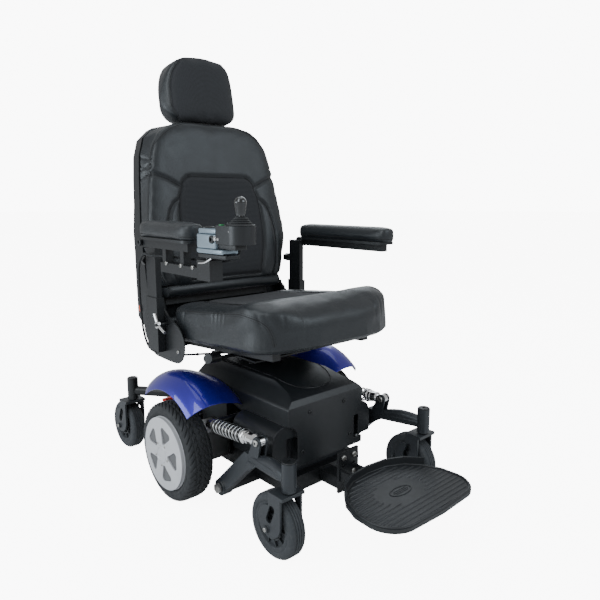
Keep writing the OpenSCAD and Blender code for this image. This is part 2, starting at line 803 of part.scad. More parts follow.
module arm_pad(side) {
    len = pad_len(side);
    h = pad_w / 2;
    color("#1d1d1f") placed() on_side(side)
        translate([arm_x, 0, arm_bar_z + bar_h / 2 + raise(side)]) linear_extrude(pad_t)
            polygon(concat(arc([h - 24, pad_rear - len + 24], 24, 0, -90, 5),
                           arc([24 - h, pad_rear - len + 24], 24, -90, -180, 5),
                           arc([14 - h, pad_rear - 14], 14, 180, 90, 4),
                           arc([h - 14, pad_rear - 14], 14, 90, 0, 4)));
}

module arm_pad_right() { arm_pad(right); }
module arm_pad_left() { arm_pad(left); }

// Hangs under the right arm bar and carries the swing bracket's pin
module joystick_mount() {
    low = arm_bar_z + right_raise - bar_h / 2;
    color("#232427") placed() on_side(right) {
        for (y = [-96, -12]) box_between([263, y, low - 34], [283, y + 16, low]);
        difference() {
            box_between([260, -170, low - 56], [286, 10, low - 32]);
            box_between([264, -165, low - 52], [282, 11, low - 36]);
        }
        box_between([256, swing_y - 26, low - 58], [290, swing_y + 26, low - 12]);
        translate([273, swing_y, low - 20]) cylinder(r = 8, h = 82);
    }
}

// Cast swing-away bracket around the pin, with the arm to the housing
module swing_bracket() {
    low = arm_bar_z + right_raise - bar_h / 2;
    color("#b9cbd8") placed() on_side(right) difference() {
        union() {
            translate([273, swing_y, low - 6]) cylinder(r = 26, h = 64);
            box_between([250, swing_y - 58, low + 8], [296, swing_y, low + 50]);
            box_between([256, stick_y - 20, pod_low - 8], [286, swing_y - 50, pod_low]);
        }
        translate([273, swing_y, low - 7]) cylinder(r = 8 + fit, h = 67);
    }
}

// Rounded housing outline from above, pulled in by t
function pod_outline(t) = concat(
    arc([0, stick_y], pod_hw - t, 180, 360, 16),
    arc([pod_hw - 8, stick_y + pod_rear - 8], 8 - t, 0, 90, 3),
    arc([8 - pod_hw, stick_y + pod_rear - 8], 8 - t, 90, 180, 3));

module joystick_housing() {
    color("#17171a") placed() translate([-arm_x + 4, 0, 0]) difference() {
        translate([0, 0, pod_low]) linear_extrude(pod_top - pod_low) polygon(pod_outline(0));
        translate([0, 0, pod_low + wall]) linear_extrude(pod_top - pod_low - 2 * wall)
            polygon(pod_outline(wall));
        translate([0, stick_y, pod_top - 10]) cylinder(r = 16, h = 20);
        for (x = [-20, 0, 20]) translate([x, stick_y + button_y, pod_top - 10])
            cylinder(r = button_r + fit, h = 20);
        translate([arm_x - 4 + cable_start[0], cable_start[1], pod_low - 1]) cylinder(r = 3.5, h = 8);
        rod_x(-pod_hw - 1, -pod_hw + 12, 2 + fit, stick_y, stick_z);
        rod_x(pod_hw - 12, pod_hw + 1, 2 + fit, stick_y, stick_z);
    }
}

// Ring that tips fore and aft on two pins in the housing
module joystick_gimbal() {
    color("#8d9094") placed() translate([-arm_x + 4, stick_y, stick_z]) difference() {
        union() {
            translate([0, 0, -4]) cylinder(r = 15, h = 8);
            rod_x(-pod_hw, pod_hw, 2, 0, 0);
        }
        translate([0, 0, -5]) cylinder(r = 10.5, h = 10);
        translate([0, 20, 0]) rotate([90, 0, 0]) cylinder(r = 2 + fit, h = 40);
    }
}

module joystick_stick() {
    color("#0e0e10") placed() translate([-arm_x + 4, stick_y, stick_z]) {
        translate([0, 13, 0]) rotate([90, 0, 0]) cylinder(r = 2, h = 26);
        translate([0, 0, -6]) cylinder(r = 4, h = 42);
        translate([0, 0, 32]) rotate_extrude() polygon(concat(
            [[0, 0], [9, 0], [10, 4], [13, 26]], arc([0, 26], 13, 8, 90, 6)));
    }
}

module joystick_boot() {
    outer = [[27, 0], [27, 3], [23, 5], [24, 7], [19, 9], [20, 11], [15, 13], [16, 15], [11, 17], [11, 19]];
    inner = [for (i = [len(outer) - 1:-1:0]) [outer[i][0] - 1.6, outer[i][1]]];
    color("#1a1a1c") placed() translate([-arm_x + 4, stick_y, pod_top])
        rotate_extrude() polygon(concat(outer, inner));
}

module button(x, rise) {
    translate([-arm_x + 4 + x, stick_y + button_y, pod_top - 8]) cylinder(r = button_r, h = 8 + rise);
}

module power_button() {
    color("#2f8f4e") placed() button(-20, 2.5);
}

module horn_button() {
    color("#c9a227") placed() button(20, 2.5);
}

module speed_dial() {
    color("#33363a") placed() difference() {
        button(0, 6);
        translate([-arm_x + 3.4, stick_y + button_y - 7, pod_top + 5]) cube([1.2, 14, 2]);
    }
}

// ---------------------------------------------------------------- footplate

function foot_half(hw, front) = concat(
    [[0, -412], [60, -418], [106, -440], [138, -476], [hw - 3, -520]],
    arc([hw - 66, -front + 70], 66, 8, -80, 8), [[0, -front]]);

module footplate() {
    edge = foot_half(foot_hw, foot_front);
    other = [for (i = [len(edge) - 2:-1:1]) [-edge[i][0], edge[i][1]]];
    heel = [for (i = [0:3]) edge[i]];
    heel_back = [for (i = [3:-1:0]) edge[i] - [0, 6]];
    color("#1b1c1f") placed() {
        translate([foot_x, 0, 0]) {
            translate([0, 0, foot_z - 10]) linear_extrude(10) polygon(concat(edge, other));
            for (s = [-1, 1]) on_side(s)
                translate([0, 0, foot_z - 2]) linear_extrude(22) polygon(concat(heel, heel_back));
        }
        translate([-22, foot_hinge[0] - 16, foot_hinge[1] - 8]) cube([44, 20, 15]);
        rod_x(-32, 32, 5, foot_hinge[0], foot_hinge[1]);
    }
}

// ---------------------------------------------------------------- cable

// Joystick lead along the armrest, down behind it and under the seat
cable_start = [-247, -276];
cable_route = [[-247, -276, 692], [-247, -274, 676], [-247, -254, 650], [-249, -210, 640],
               [-252, -120, 636], [-254, 0, 634], [-263, 50, 634], [-275, 84, 634],
               [-274, 124, 634], [-270, 160, 600], [-268, 168, 540], [-266, 168, 470],
               [-262, 164, 410], [-250, 154, 368], [-226, 126, 356], [-180, 92, 351],
               [-120, 60, 350], [-78, 34, 350], [-48, 8, 350]];

module joystick_cable() {
    color("#141416") placed() tube_along(spline(cable_route, 5), 3, [1, 0, 0], 8);
}

// ---------------------------------------------------------------- assembly

chassis_frame();
base_shroud();
fender_right();
fender_left();
batteries();
gearmotor_right();
gearmotor_left();
power_module();
footplate_bracket();
pivot_bolts();
freewheel_lever_right();
freewheel_lever_left();
drive_tyre_right();
drive_tyre_left();
drive_rim_right();
drive_rim_left();
hubcap_right();
hubcap_left();
front_arm_right();
front_arm_left();
shock_rod_right();
shock_rod_left();
shock_body_right();
shock_body_left();
shock_spring_right();
shock_spring_left();
fork_front_right();
fork_front_left();
fork_rear_right();
fork_rear_left();
caster_front_right();
caster_front_left();
caster_rear_right();
caster_rear_left();
seat_frame();
seat_cushion();
seat_lever();
recline_lever();
back_frame();
back_shell();
back_cushion();
headrest_posts();
headrest_cushion();
arm_post_right();
arm_post_left();
arm_bar_right();
arm_bar_left();
arm_pad_right();
arm_pad_left();
joystick_mount();
swing_bracket();
joystick_housing();
joystick_gimbal();
joystick_stick();
joystick_boot();
power_button();
horn_button();
speed_dial();
footplate();
joystick_cable();
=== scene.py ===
# Power wheelchair: the looks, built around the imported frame.
import json
import math

import bmesh
import bpy
import numpy as np
from mathutils import Matrix, Vector
from mathutils.bvhtree import BVHTree

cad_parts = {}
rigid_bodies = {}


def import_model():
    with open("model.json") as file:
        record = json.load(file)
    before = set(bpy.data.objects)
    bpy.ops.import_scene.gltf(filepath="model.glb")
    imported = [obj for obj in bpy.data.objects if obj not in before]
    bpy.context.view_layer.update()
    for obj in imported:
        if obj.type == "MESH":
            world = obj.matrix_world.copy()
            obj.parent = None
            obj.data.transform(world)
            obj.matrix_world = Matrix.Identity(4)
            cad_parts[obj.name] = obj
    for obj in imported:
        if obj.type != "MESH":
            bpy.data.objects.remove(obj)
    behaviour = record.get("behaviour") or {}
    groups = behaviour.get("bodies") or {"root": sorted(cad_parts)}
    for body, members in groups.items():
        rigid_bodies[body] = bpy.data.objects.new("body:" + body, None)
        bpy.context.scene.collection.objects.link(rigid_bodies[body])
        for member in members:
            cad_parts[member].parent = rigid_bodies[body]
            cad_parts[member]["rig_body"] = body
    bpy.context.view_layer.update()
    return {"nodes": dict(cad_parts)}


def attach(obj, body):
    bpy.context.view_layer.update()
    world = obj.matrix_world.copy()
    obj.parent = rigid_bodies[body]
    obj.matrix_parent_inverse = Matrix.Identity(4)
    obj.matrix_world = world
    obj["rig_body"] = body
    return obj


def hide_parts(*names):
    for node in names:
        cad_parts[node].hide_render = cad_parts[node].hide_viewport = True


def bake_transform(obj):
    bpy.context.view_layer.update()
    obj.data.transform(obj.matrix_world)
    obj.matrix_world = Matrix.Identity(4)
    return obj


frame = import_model()

MM = 0.001
AXLE_Y = 88          # the drive axle's place along Y, in mm
POST_Y = 64          # the seat post's place along Y
WHEEL_R = 130        # the drive wheel's radius, and so its axle's height
SIDES = {"right": -1, "left": 1}


# ---------------- places

def mm(*p):
    return Vector(p) * MM


UP, DOWN, FRONT = (0, 0, 1), (0, 0, -1), (0, -1, 0)


class Tilted:
    """The axes of a part that leans back: sideways, towards the rear, and up, in mm."""

    def __init__(self, y, z, degrees):
        self.y, self.z = y, z
        self.c, self.s = math.cos(math.radians(degrees)), math.sin(math.radians(degrees))
        self.rear = Vector((0, self.c, -self.s))

    def point(self, x, depth, height):
        """A point in metres, given along the part's axes."""
        return mm(x, self.y + depth * self.c + height * self.s, self.z - depth * self.s + height * self.c)

    def local(self, co):
        """Vertices in metres as rows of sideways, depth and height."""
        y = co[:, 1] / MM - self.y
        z = co[:, 2] / MM - self.z
        return np.stack([co[:, 0] / MM, y * self.c - z * self.s, y * self.s + z * self.c], 1)

    def world(self, local):
        """Rows of sideways, depth and height back as vertices in metres."""
        y = local[:, 1] * self.c + local[:, 2] * self.s + self.y
        z = -local[:, 1] * self.s + local[:, 2] * self.c + self.z
        return np.stack([local[:, 0], y, z], 1) * MM


SEAT = Tilted(POST_Y, 411, 4.5)
BACK = Tilted(198, 450, 9)      # leans about the recline hinge
UPRIGHT = Tilted(0, 0, 0)


def spline(points, steps):
    """Smooth open curve through the points."""
    p = [Vector(q) for q in points]
    out = []
    for i in range(len(p) - 1):
        a, b, c, d = p[max(i - 1, 0)], p[i], p[i + 1], p[min(i + 2, len(p) - 1)]
        for k in range(steps):
            t = k / steps
            out.append(0.5 * (2 * b + (c - a) * t + (2 * a - 5 * b + 4 * c - d) * t * t
                              + (3 * b - a - 3 * c + d) * t ** 3))
    out.append(p[-1])
    return out


def arc(cx, cy, r, a0, a1, n):
    angles = [math.radians(a0 + (a1 - a0) * i / n) for i in range(n + 1)]
    return [(cx + r * math.cos(a), cy + r * math.sin(a)) for a in angles]


def rounded_box(x0, y0, x1, y1, r):
    """Outline of a rectangle with round corners."""
    corners = ((x1 - r, y1 - r, 0), (x0 + r, y1 - r, 90), (x0 + r, y0 + r, 180), (x1 - r, y0 + r, 270))
    return [p for cx, cy, a in corners for p in arc(cx, cy, r, a, a + 90, 6)]


def mirrored(half):
    """A whole outline from one half, which may start or end on the middle line."""
    return half + [(-x, y) for x, y in reversed(half) if x]


def turn(count, start=0.0):
    """Angles spread evenly over a full turn, in radians."""
    return [2 * math.pi * k / count + math.radians(start) for k in range(count)]


# ---------------- looks

class Look:
    """One procedural material. Sizes of its detail are in mm."""

    def __init__(self, name, rough, metallic=0.0, coat=0.0, sheen=0.0, bevel=0.0):
        self.m = bpy.data.materials.new(name)
        self.m.use_nodes = True
        self.nodes = self.m.node_tree.nodes
        self.links = self.m.node_tree.links
        self.b = self.nodes["Principled BSDF"]
        self.b.inputs["Metallic"].default_value = metallic
        self.b.inputs["Coat Weight"].default_value = coat
        self.b.inputs["Coat Roughness"].default_value = 0.08
        self.b.inputs["Sheen Weight"].default_value = sheen
        self.rough = rough
        self.normal = None
        self.coord = self.nodes.new("ShaderNodeTexCoord").outputs["Object"]
        if bevel:
            self.normal = self.add("ShaderNodeBevel", Radius=bevel * MM).outputs["Normal"]

    def put(self, value, socket):
        """Links a socket's value, or sets it where it is the same everywhere."""
        if isinstance(value, bpy.types.NodeSocket):
            self.links.new(value, socket)
        else:
            socket.default_value = (*value, 1) if socket.type == "RGBA" else value

    def add(self, kind, props=(), **inputs):
        n = self.nodes.new(kind)
        for key, value in dict(props).items():
            setattr(n, key, value)
        for key, value in inputs.items():
            self.put(value, n.inputs[key.replace("_", " ")])
        return n

    def noise(self, size, detail=3.0):
        return self.add("ShaderNodeTexNoise", Vector=self.coord, Scale=1 / (size * MM),
                        Detail=detail, Roughness=0.55).outputs["Fac"]

    def cells(self, size, feature="F1"):
        return self.add("ShaderNodeTexVoronoi", {"feature": feature}, Vector=self.coord,
                        Scale=1 / (size * MM)).outputs["Distance"]

    def calculate(self, operation, a, b):
        n = self.add("ShaderNodeMath", {"operation": operation})
        for value, socket in zip((a, b), n.inputs):
            self.put(value, socket)
        return n.outputs[0]

    def spread(self, fac, low, high, to_low=0.0, to_high=1.0):
        return self.add("ShaderNodeMapRange", Value=fac, From_Min=low, From_Max=high,
                        To_Min=to_low, To_Max=to_high).outputs["Result"]

    def mix(self, fac, a, b):
        n = self.add("ShaderNodeMix", {"data_type": "RGBA"})
        for index, value in ((0, fac), (6, a), (7, b)):     # the factor and the two colours
            self.put(value, n.inputs[index])
        return n.outputs[2]

    def bump(self, height, depth):
        n = self.add("ShaderNodeBump", Height=height, Distance=depth * MM, Strength=1.0)
        if self.normal:
            self.links.new(self.normal, n.inputs["Normal"])
        self.normal = n.outputs["Normal"]

    def finish(self, colour, rough=None):
        self.links.new(colour, self.b.inputs["Base Color"])
        if rough is None:
            rough = self.spread(self.noise(18), 0.3, 0.7, self.rough * 0.94, self.rough * 1.06)
        self.links.new(rough, self.b.inputs["Roughness"])
        if self.normal:
            self.links.new(self.normal, self.b.inputs["Normal"])
        return self.m


NEUTRAL = (1.0, 1.0, 1.0)
COOL = (0.86, 0.98, 1.12)


def grey(v, tint=NEUTRAL):
    return tuple(v * t for t in tint)


def plastic_look(name, value, rough, coat=0.0, texture=0.03):
    k = Look(name, rough, coat=coat)
    mottle = k.noise(60, 4)
    k.bump(k.noise(1.2, 2), texture)
    return k.finish(k.mix(mottle, grey(value * 0.85, COOL), grey(value * 1.2, COOL)))


def painted_look(name, value, rough, metallic=0.0, tint=COOL, wear=0.25, bevel=0.0):
    """Powder coat with a fine orange peel and a little rub wear."""
    k = Look(name, rough, metallic=metallic, bevel=bevel)
    k.bump(k.cells(1.6, "SMOOTH_F1"), 0.03)
    base = k.mix(k.noise(40, 5), grey(value * 0.85, tint), grey(value * 1.15, tint))
    if wear:
        rub = k.spread(k.noise(7, 8), 0.66, 0.74, 0.0, wear)
        base = k.mix(rub, base, grey(value * 1.8 + 0.01, tint))
    return k.finish(base)


def metal_look(name, value, rough, tint=NEUTRAL, texture=0.005):
    k = Look(name, rough, metallic=1.0)
    streak = k.noise(3, 4)
    k.bump(streak, texture)
    colour = k.mix(k.noise(20, 5), grey(value * 0.9, tint), grey(min(value * 1.08, 0.98), tint))
    return k.finish(colour, k.spread(streak, 0.3, 0.7, rough * 0.8, rough * 1.25))


def rubber_look(name, value, dust):
    k = Look(name, 0.72, sheen=0.05)
    k.bump(k.noise(0.9, 3), 0.08)
    base = k.mix(k.noise(30, 6), grey(value * 0.8, COOL), grey(value * 1.25, COOL))
    powder = k.spread(k.noise(9, 8), 0.5, 0.75, 0.0, dust)
    return k.finish(k.mix(powder, base, grey(value * 2.5)), k.spread(k.noise(14, 5), 0.3, 0.7, 0.6, 0.85))


def vinyl_look(name, knit=False):
    """Grained upholstery vinyl, with knitted cloth where the panel attribute is positive."""
    k = Look(name, 0.36, sheen=0.04)
    height = k.spread(k.cells(1.5, "DISTANCE_TO_EDGE"), 0.0, 0.12)
    fresh = k.mix(k.noise(70, 5), (0.009, 0.0115, 0.0138), (0.014, 0.0175, 0.0205))
    colour = k.mix(k.spread(k.noise(5, 8), 0.6, 0.8, 0.0, 0.3), fresh, (0.020, 0.0235, 0.027))
    rough = k.spread(k.noise(35, 6), 0.3, 0.7, 0.30, 0.40)
    if knit:
        mark_value = k.add("ShaderNodeAttribute", {"attribute_name": "panel"}).outputs["Fac"]
        panel = k.spread(mark_value, -0.4, 0.4)
        rows = k.add("ShaderNodeMapping", Vector=k.coord, Scale=(430, 430, 560)).outputs[0]
        loops = k.add("ShaderNodeTexVoronoi", {"feature": "F1"}, Scale=1.0, Randomness=0.22,
                      Vector=rows).outputs["Distance"]
        cloth = k.mix(k.spread(loops, 0.2, 0.75), (0.022, 0.0235, 0.027), (0.014, 0.015, 0.0175))
        lint = k.spread(k.noise(2.5, 6), 0.35, 0.8, 0.0, 0.4)
        colour = k.mix(panel, colour, k.mix(lint, cloth, (0.027, 0.028, 0.031)))
        raised = k.calculate("MULTIPLY", k.calculate("SUBTRACT", 1.0, loops), 3.0)
        blend = {"data_type": "FLOAT"}
        rough = k.add("ShaderNodeMix", blend, Factor=panel, A=rough, B=0.88).outputs[0]
        height = k.add("ShaderNodeMix", blend, Factor=panel, A=height, B=raised).outputs[0]
    k.bump(height, 0.06)
    k.bump(k.noise(14, 4), 0.25)
    return k.finish(colour, rough)


def paint_look():
    """Deep blue metallic paint under a clear coat."""
    k = Look("metallic_blue_paint", 0.3, metallic=0.55, coat=1.0)
    k.b.inputs["Coat Roughness"].default_value = 0.03
    flakes = k.cells(0.5)
    depth = k.mix(k.noise(120, 3), (0.014, 0.008, 0.26), (0.022, 0.014, 0.38))
    sparkle = k.spread(flakes, 0.0, 0.35, 0.3, 0.0)
    return k.finish(k.mix(sparkle, depth, (0.06, 0.06, 0.55)), k.spread(flakes, 0.0, 0.7, 0.24, 0.42))


def reflector_look():
    k = Look("orange_reflector", 0.12, coat=1.0)
    prism = k.cells(2.2, "DISTANCE_TO_EDGE")
    k.bump(prism, 0.3)
    return k.finish(k.mix(k.spread(prism, 0.0, 0.3), (0.75, 0.10, 0.01), (0.45, 0.03, 0.01)))


def colour_look(name, low, high, rough):
    k = Look(name, rough)
    k.bump(k.noise(1.5, 3), 0.03)
    return k.finish(k.mix(k.noise(15, 5), low, high))


LOOKS = {
    "frame": painted_look("black_powder_coat", 0.009, 0.4, bevel=1.0),
    "cover": plastic_look("satin_black_cover", 0.014, 0.38, texture=0.012),
    "shell": plastic_look("moulded_shell", 0.009, 0.38, texture=0.03),
    "soft_plastic": plastic_look("black_plastic", 0.01, 0.4, texture=0.03),
    "tread": plastic_look("tread_plastic", 0.016, 0.46, texture=0.06),
    "battery": plastic_look("battery_case", 0.03, 0.5),
    "fork": painted_look("caster_fork_paint", 0.03, 0.42, wear=0.3),
    "arm": painted_look("grey_arm_paint", 0.038, 0.34, metallic=0.3, wear=0.15),
    "grey": metal_look("grey_steel", 0.25, 0.42, texture=0.02),
    "zinc": metal_look("zinc_plate", 0.5, 0.32, tint=(1.0, 0.98, 0.93)),
    "chrome": metal_look("bright_chrome", 0.85, 0.1, texture=0.002),
    "coil": metal_look("dark_chrome", 0.42, 0.16, texture=0.002),
    "rim": painted_look("wheel_disc_paint", 0.3, 0.4, metallic=0.6, tint=NEUTRAL, wear=0.0),
    "cap": painted_look("silver_cap_paint", 0.62, 0.32, metallic=0.25, tint=(0.99, 1.0, 1.03), wear=0.0),
    "window": painted_look("cap_window_paint", 0.13, 0.45, metallic=0.3, tint=(1, 1, 1.03), wear=0.0),
    "cast": painted_look("cast_bracket_paint", 0.34, 0.25, metallic=0.45, tint=(0.80, 1.0, 1.16), wear=0.0),
    "tyre": rubber_look("drive_tyre_rubber", 0.014, 0.3),
    "caster": rubber_look("caster_rubber", 0.032, 0.3),
    "hub": plastic_look("caster_hub_plastic", 0.025, 0.5),
    "soft_rubber": rubber_look("boot_rubber", 0.009, 0.1),
    "vinyl": vinyl_look("black_vinyl"),
    "upholstery": vinyl_look("vinyl_and_knit", knit=True),
    "thread": colour_look("seam_thread", (0.004, 0.004, 0.0045), (0.012, 0.012, 0.013), 0.8),
    "blue": paint_look(),
    "reflector": reflector_look(),
    "red": colour_look("red_lever", (0.45, 0.02, 0.015), (0.6, 0.035, 0.02), 0.4),
    "green": colour_look("green_button", (0.02, 0.2, 0.06), (0.03, 0.28, 0.09), 0.35),
    "yellow": colour_look("yellow_button", (0.5, 0.3, 0.02), (0.62, 0.38, 0.03), 0.35),
    "knob": plastic_look("gloss_knob", 0.006, 0.14, coat=0.8, texture=0.005),
}


# ---------------- meshes

def add_object(name, data):
    """An object with this data in the scene."""
    thing = bpy.data.objects.new(name, data)
    bpy.context.scene.collection.objects.link(thing)
    return thing


def new_mesh(name, verts, faces):
    mesh = bpy.data.meshes.new(name)
    mesh.from_pydata([tuple(v) for v in verts], [], faces)
    mesh.update()
    return mesh


def evaluated_mesh(piece):
    """The piece's mesh with its modifiers worked out."""
    return bpy.data.meshes.new_from_object(piece.evaluated_get(bpy.context.evaluated_depsgraph_get()))


def new_piece(name, verts, faces, look, body, slot, smooth=30):
    """A mesh piece on a body. Points are in metres, and edges sharper than smooth stay sharp."""
    piece = add_object(name, new_mesh(name, verts, faces))
    finish_mesh(piece, look, slot, smooth)
    if body:
        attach(piece, body)
    return piece


def finish_mesh(piece, look, slot, smooth):
    """Welds a piece, turns its faces outwards and gives it its material and shading."""
    b = bmesh.new()
    b.from_mesh(piece.data)
    bmesh.ops.remove_doubles(b, verts=b.verts, dist=1e-6)
    bmesh.ops.recalc_face_normals(b, faces=b.faces)
    b.to_mesh(piece.data)
    b.free()
    piece.data.materials.clear()
    piece.data.materials.append(LOOKS[look])
    piece.data.polygons.foreach_set("use_smooth", [True] * len(piece.data.polygons))
    piece.data.set_sharp_from_angle(angle=math.radians(smooth))


def with_modifier(piece, kind, **settings):
    """Adds a modifier and applies it at once."""
    m = piece.modifiers.new(kind.lower(), kind)
    for key, value in settings.items():
        setattr(m, key, value)
    mesh = evaluated_mesh(piece)
    piece.modifiers.clear()
    piece.data = mesh


def copy_node(node, name):
    """A welded copy of a CAD node's mesh, not yet on a body."""
    piece = add_object(name, frame["nodes"][node].data.copy())
    b = bmesh.new()
    b.from_mesh(piece.data)
    bmesh.ops.remove_doubles(b, verts=b.verts, dist=2e-5)
    bmesh.ops.dissolve_limit(b, angle_limit=math.radians(0.6), verts=b.verts, edges=b.edges)
    b.to_mesh(piece.data)
    b.free()
    return piece


def skin(node, look, slot, radius, smooth=32):
    """A copy of a CAD node with rounded edges, in its place."""
    body = frame["nodes"][node]["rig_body"]
    piece = copy_node(node, node + "_skin")
    with_modifier(piece, "BEVEL", width=radius * MM, segments=2, limit_method="ANGLE",
                  angle_limit=math.radians(smooth + 3), use_clamp_overlap=True)
    finish_mesh(piece, look, slot, smooth + 14)
    with_modifier(piece, "WEIGHTED_NORMAL", keep_sharp=True)
    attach(piece, body)
    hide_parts(node)
    return piece


def dress(look, *nodes):
    """Gives CAD nodes that keep their shape a better material."""
    for node in nodes:
        for material_slot in frame["nodes"][node].material_slots:
            material_slot.material = LOOKS[look]


def grid(rows, columns, ring_of_rows=False, ring_of_columns=True):
    """Faces between rows of points. Rows and columns may each close into a ring."""
    return [(i * columns + k, i * columns + (k + 1) % columns,
             (i + 1) % rows * columns + (k + 1) % columns, (i + 1) % rows * columns + k)
            for i in range(rows if ring_of_rows else rows - 1)
            for k in range(columns if ring_of_columns else columns - 1)]


def end_faces(rows, columns):
    """Faces that close the first and the last row."""
    last = (rows - 1) * columns
    return [tuple(range(columns - 1, -1, -1)), tuple(range(last, last + columns))]


def tube(points, radius, sides, closed=False):
    """Vertices and faces of a round tube along points in metres, with its radius in mm."""
    p = [Vector(q) for q in points]
    n = len(p)
    verts = []
    side = None
    for i in range(n):
        ahead = p[(i + 1) % n] if closed else p[min(i + 1, n - 1)]
        behind = p[i - 1] if closed or i else p[0]
        t = (ahead - behind).normalized()
        if side is None:
            side = t.orthogonal()
        side = (side - t * side.dot(t)).normalized()
        up = t.cross(side)
        verts += [p[i] + (side * math.cos(a) + up * math.sin(a)) * radius * MM for a in turn(sides)]
    return verts, grid(n, sides, ring_of_rows=closed) + ([] if closed else end_faces(n, sides))


def merged(parts):
    """Joins several (verts, faces) into one."""
    verts, faces = [], []
    for v, f in parts:
        start = len(verts)
        verts.extend(v)
        faces.extend(tuple(i + start for i in face) for face in f)
    return verts, faces


def lathe(profile, centre, axis, segments=48, shape=None):
    """Turns (radius, along) points in mm about an axis through the centre.

    shape may change a point: it gets its angle, radius and distance along, and
    gives the new radius.
    """
    axis = Vector(axis).normalized()
    u = axis.orthogonal().normalized()
    v = axis.cross(u)
    verts = []
    for a in turn(segments):
        out = u * math.cos(a) + v * math.sin(a)
        for r, x in profile:
            reach = shape(a, r, x) if shape else r
            verts.append(Vector(centre) + axis * (x * MM) + out * (reach * MM))
    return verts, grid(segments, len(profile), ring_of_rows=True, ring_of_columns=False)


def swept(profile, stations, place):
    """A profile of points carried along X, shrunk at each station, with closed ends."""
    rows, columns = len(stations), len(profile)
    middle = np.mean(profile, axis=0)
    verts = [place(x, *(middle + (np.array(p) - middle) * size)) for x, size in stations for p in profile]
    return verts, grid(rows, columns) + end_faces(rows, columns)


def plate(near, far):
    """A thin plate between two matching outlines of points."""
    return near + far, grid(2, len(near)) + end_faces(2, len(near))


def slab(outline, low, high, edge):
    """An upright block over an outline, in mm, with its top and bottom edges rounded."""
    turned = arc(edge, edge, edge, 270, 180, 3)
    steps = [(inset, low + up) for inset, up in turned]
    steps += [(inset, high - up) for inset, up in reversed(turned)]
    flat = np.array(outline)
    along = np.roll(flat, -1, axis=0) - np.roll(flat, 1, axis=0)
    out = np.stack([along[:, 1], -along[:, 0]], 1)
    out /= np.linalg.norm(out, axis=1, keepdims=True)
    verts = [mm(*(p - q * inset), z) for inset, z in steps for p, q in zip(flat, out)]
    return verts, grid(len(steps), len(flat)) + end_faces(len(steps), len(flat))


def disc_head(centre, axis, radius, height, socket):
    """A screw head with a rounded rim and a six-sided socket, at a point in metres."""
    rim = arc(radius - height * 0.5, height * 0.5, height * 0.5, 0, 90, 4)
    inner = radius * socket
    floor = height * 0.3
    profile = [(radius, -0.5)] + rim + [(inner, height), (inner, floor), (0.01, floor)]

    def hexed(angle, r, _):
        if r != inner:
            return r
        step = math.pi / 3
        return r * math.cos(step / 2) / math.cos((angle % step) - step / 2)

    return lathe(profile, centre, axis, 24, hexed)


def screws(name, places, radius, height, look, body, slot, socket=0.45):
    """Alike screw heads in one piece, each given as a point and the way it faces."""
    heads = [disc_head(point, axis, radius, height, socket) for point, axis in places]
    new_piece(name, *merged(heads), look, body, slot, 40)


# ---------------- soft parts

def relax(co, edges, steps):
    """Smooths points by moving each one halfway to the mean of its neighbours."""
    count = np.zeros(len(co))
    np.add.at(count, edges[:, 0], 1)
    np.add.at(count, edges[:, 1], 1)
    for _ in range(steps):
        total = np.zeros_like(co)
        np.add.at(total, edges[:, 0], co[edges[:, 1]])
        np.add.at(total, edges[:, 1], co[edges[:, 0]])
        co = co + 0.5 * (total / count[:, None] - co)
    return co


def read(items, name, width=3, kind=float):
    """One attribute of all items, as rows of numbers."""
    values = np.empty(len(items) * width, dtype=kind)
    items.foreach_get(name, values)
    return values.reshape(-1, width)


def coords(piece):
    return read(piece.data.vertices, "co")


def normals(piece):
    return read(piece.data.vertices, "normal")


def edge_pairs(piece):
    return read(piece.data.edges, "vertices", 2, np.int64)


def surface(piece):
    """A search tree over the piece's faces."""
    return BVHTree.FromObject(piece, bpy.context.evaluated_depsgraph_get())


def set_coords(piece, co):
    piece.data.vertices.foreach_set("co", co.ravel())
    piece.data.update()


def fit_to(piece, node, part, grow):
    """Stretches a cushion along its part's axes to fill its CAD solid's box."""
    local = part.local(coords(piece))
    wanted = part.local(coords(frame["nodes"][node]))
    low, high = wanted.min(axis=0) - grow, wanted.max(axis=0) + grow
    own_low, own_high = local.min(axis=0), local.max(axis=0)
    local = low + (local - own_low) * (high - low) / (own_high - own_low)
    set_coords(piece, part.world(local))


def hold_to(piece, node, share):
    """Draws points back onto the CAD solid's surface, each by its share."""
    tree = surface(frame["nodes"][node])
    co = coords(piece)
    on_solid = np.array([tree.find_nearest(Vector(p))[0] for p in co])
    set_coords(piece, co + (on_solid - co) * np.clip(share, 0, 1)[:, None])


SETTLING = 11      # smoothing steps after a cushion has swollen


def puffed(node, name, voxel, smoothing, cap, shrink):
    """A cushion swollen by a cloth simulation from its CAD solid. Sizes are in mm."""
    piece = copy_node(node, name)
    with_modifier(piece, "REMESH", mode="VOXEL", voxel_size=voxel * MM)
    co = relax(coords(piece), edge_pairs(piece), smoothing)
    set_coords(piece, co)
    co = co - normals(piece) * shrink * MM
    set_coords(piece, co)
    move = swollen_coords(piece) - co
    length = np.linalg.norm(move, axis=1, keepdims=True)
    move *= np.minimum(1.0, cap * MM / np.maximum(length, 1e-9))
    set_coords(piece, relax(co + move, edge_pairs(piece), SETTLING))
    with_modifier(piece, "SUBSURF", levels=1, render_levels=1)
    return piece


def swollen_coords(piece):
    """Where cloth under pressure takes the piece's points in 20 frames."""
    cloth = piece.modifiers.new("cloth", "CLOTH")
    cloth.settings.use_pressure = True
    cloth.settings.uniform_pressure_force = 4.0
    cloth.settings.effector_weights.gravity = 0.0
    cloth.settings.quality = 4
    cloth.collision_settings.use_collision = False
    scene = bpy.context.scene
    for f in range(1, 21):
        scene.frame_set(f)
    mesh = evaluated_mesh(piece)
    swollen = read(mesh.vertices, "co")
    piece.modifiers.clear()
    bpy.data.meshes.remove(mesh)
    scene.frame_set(1)
    return swollen


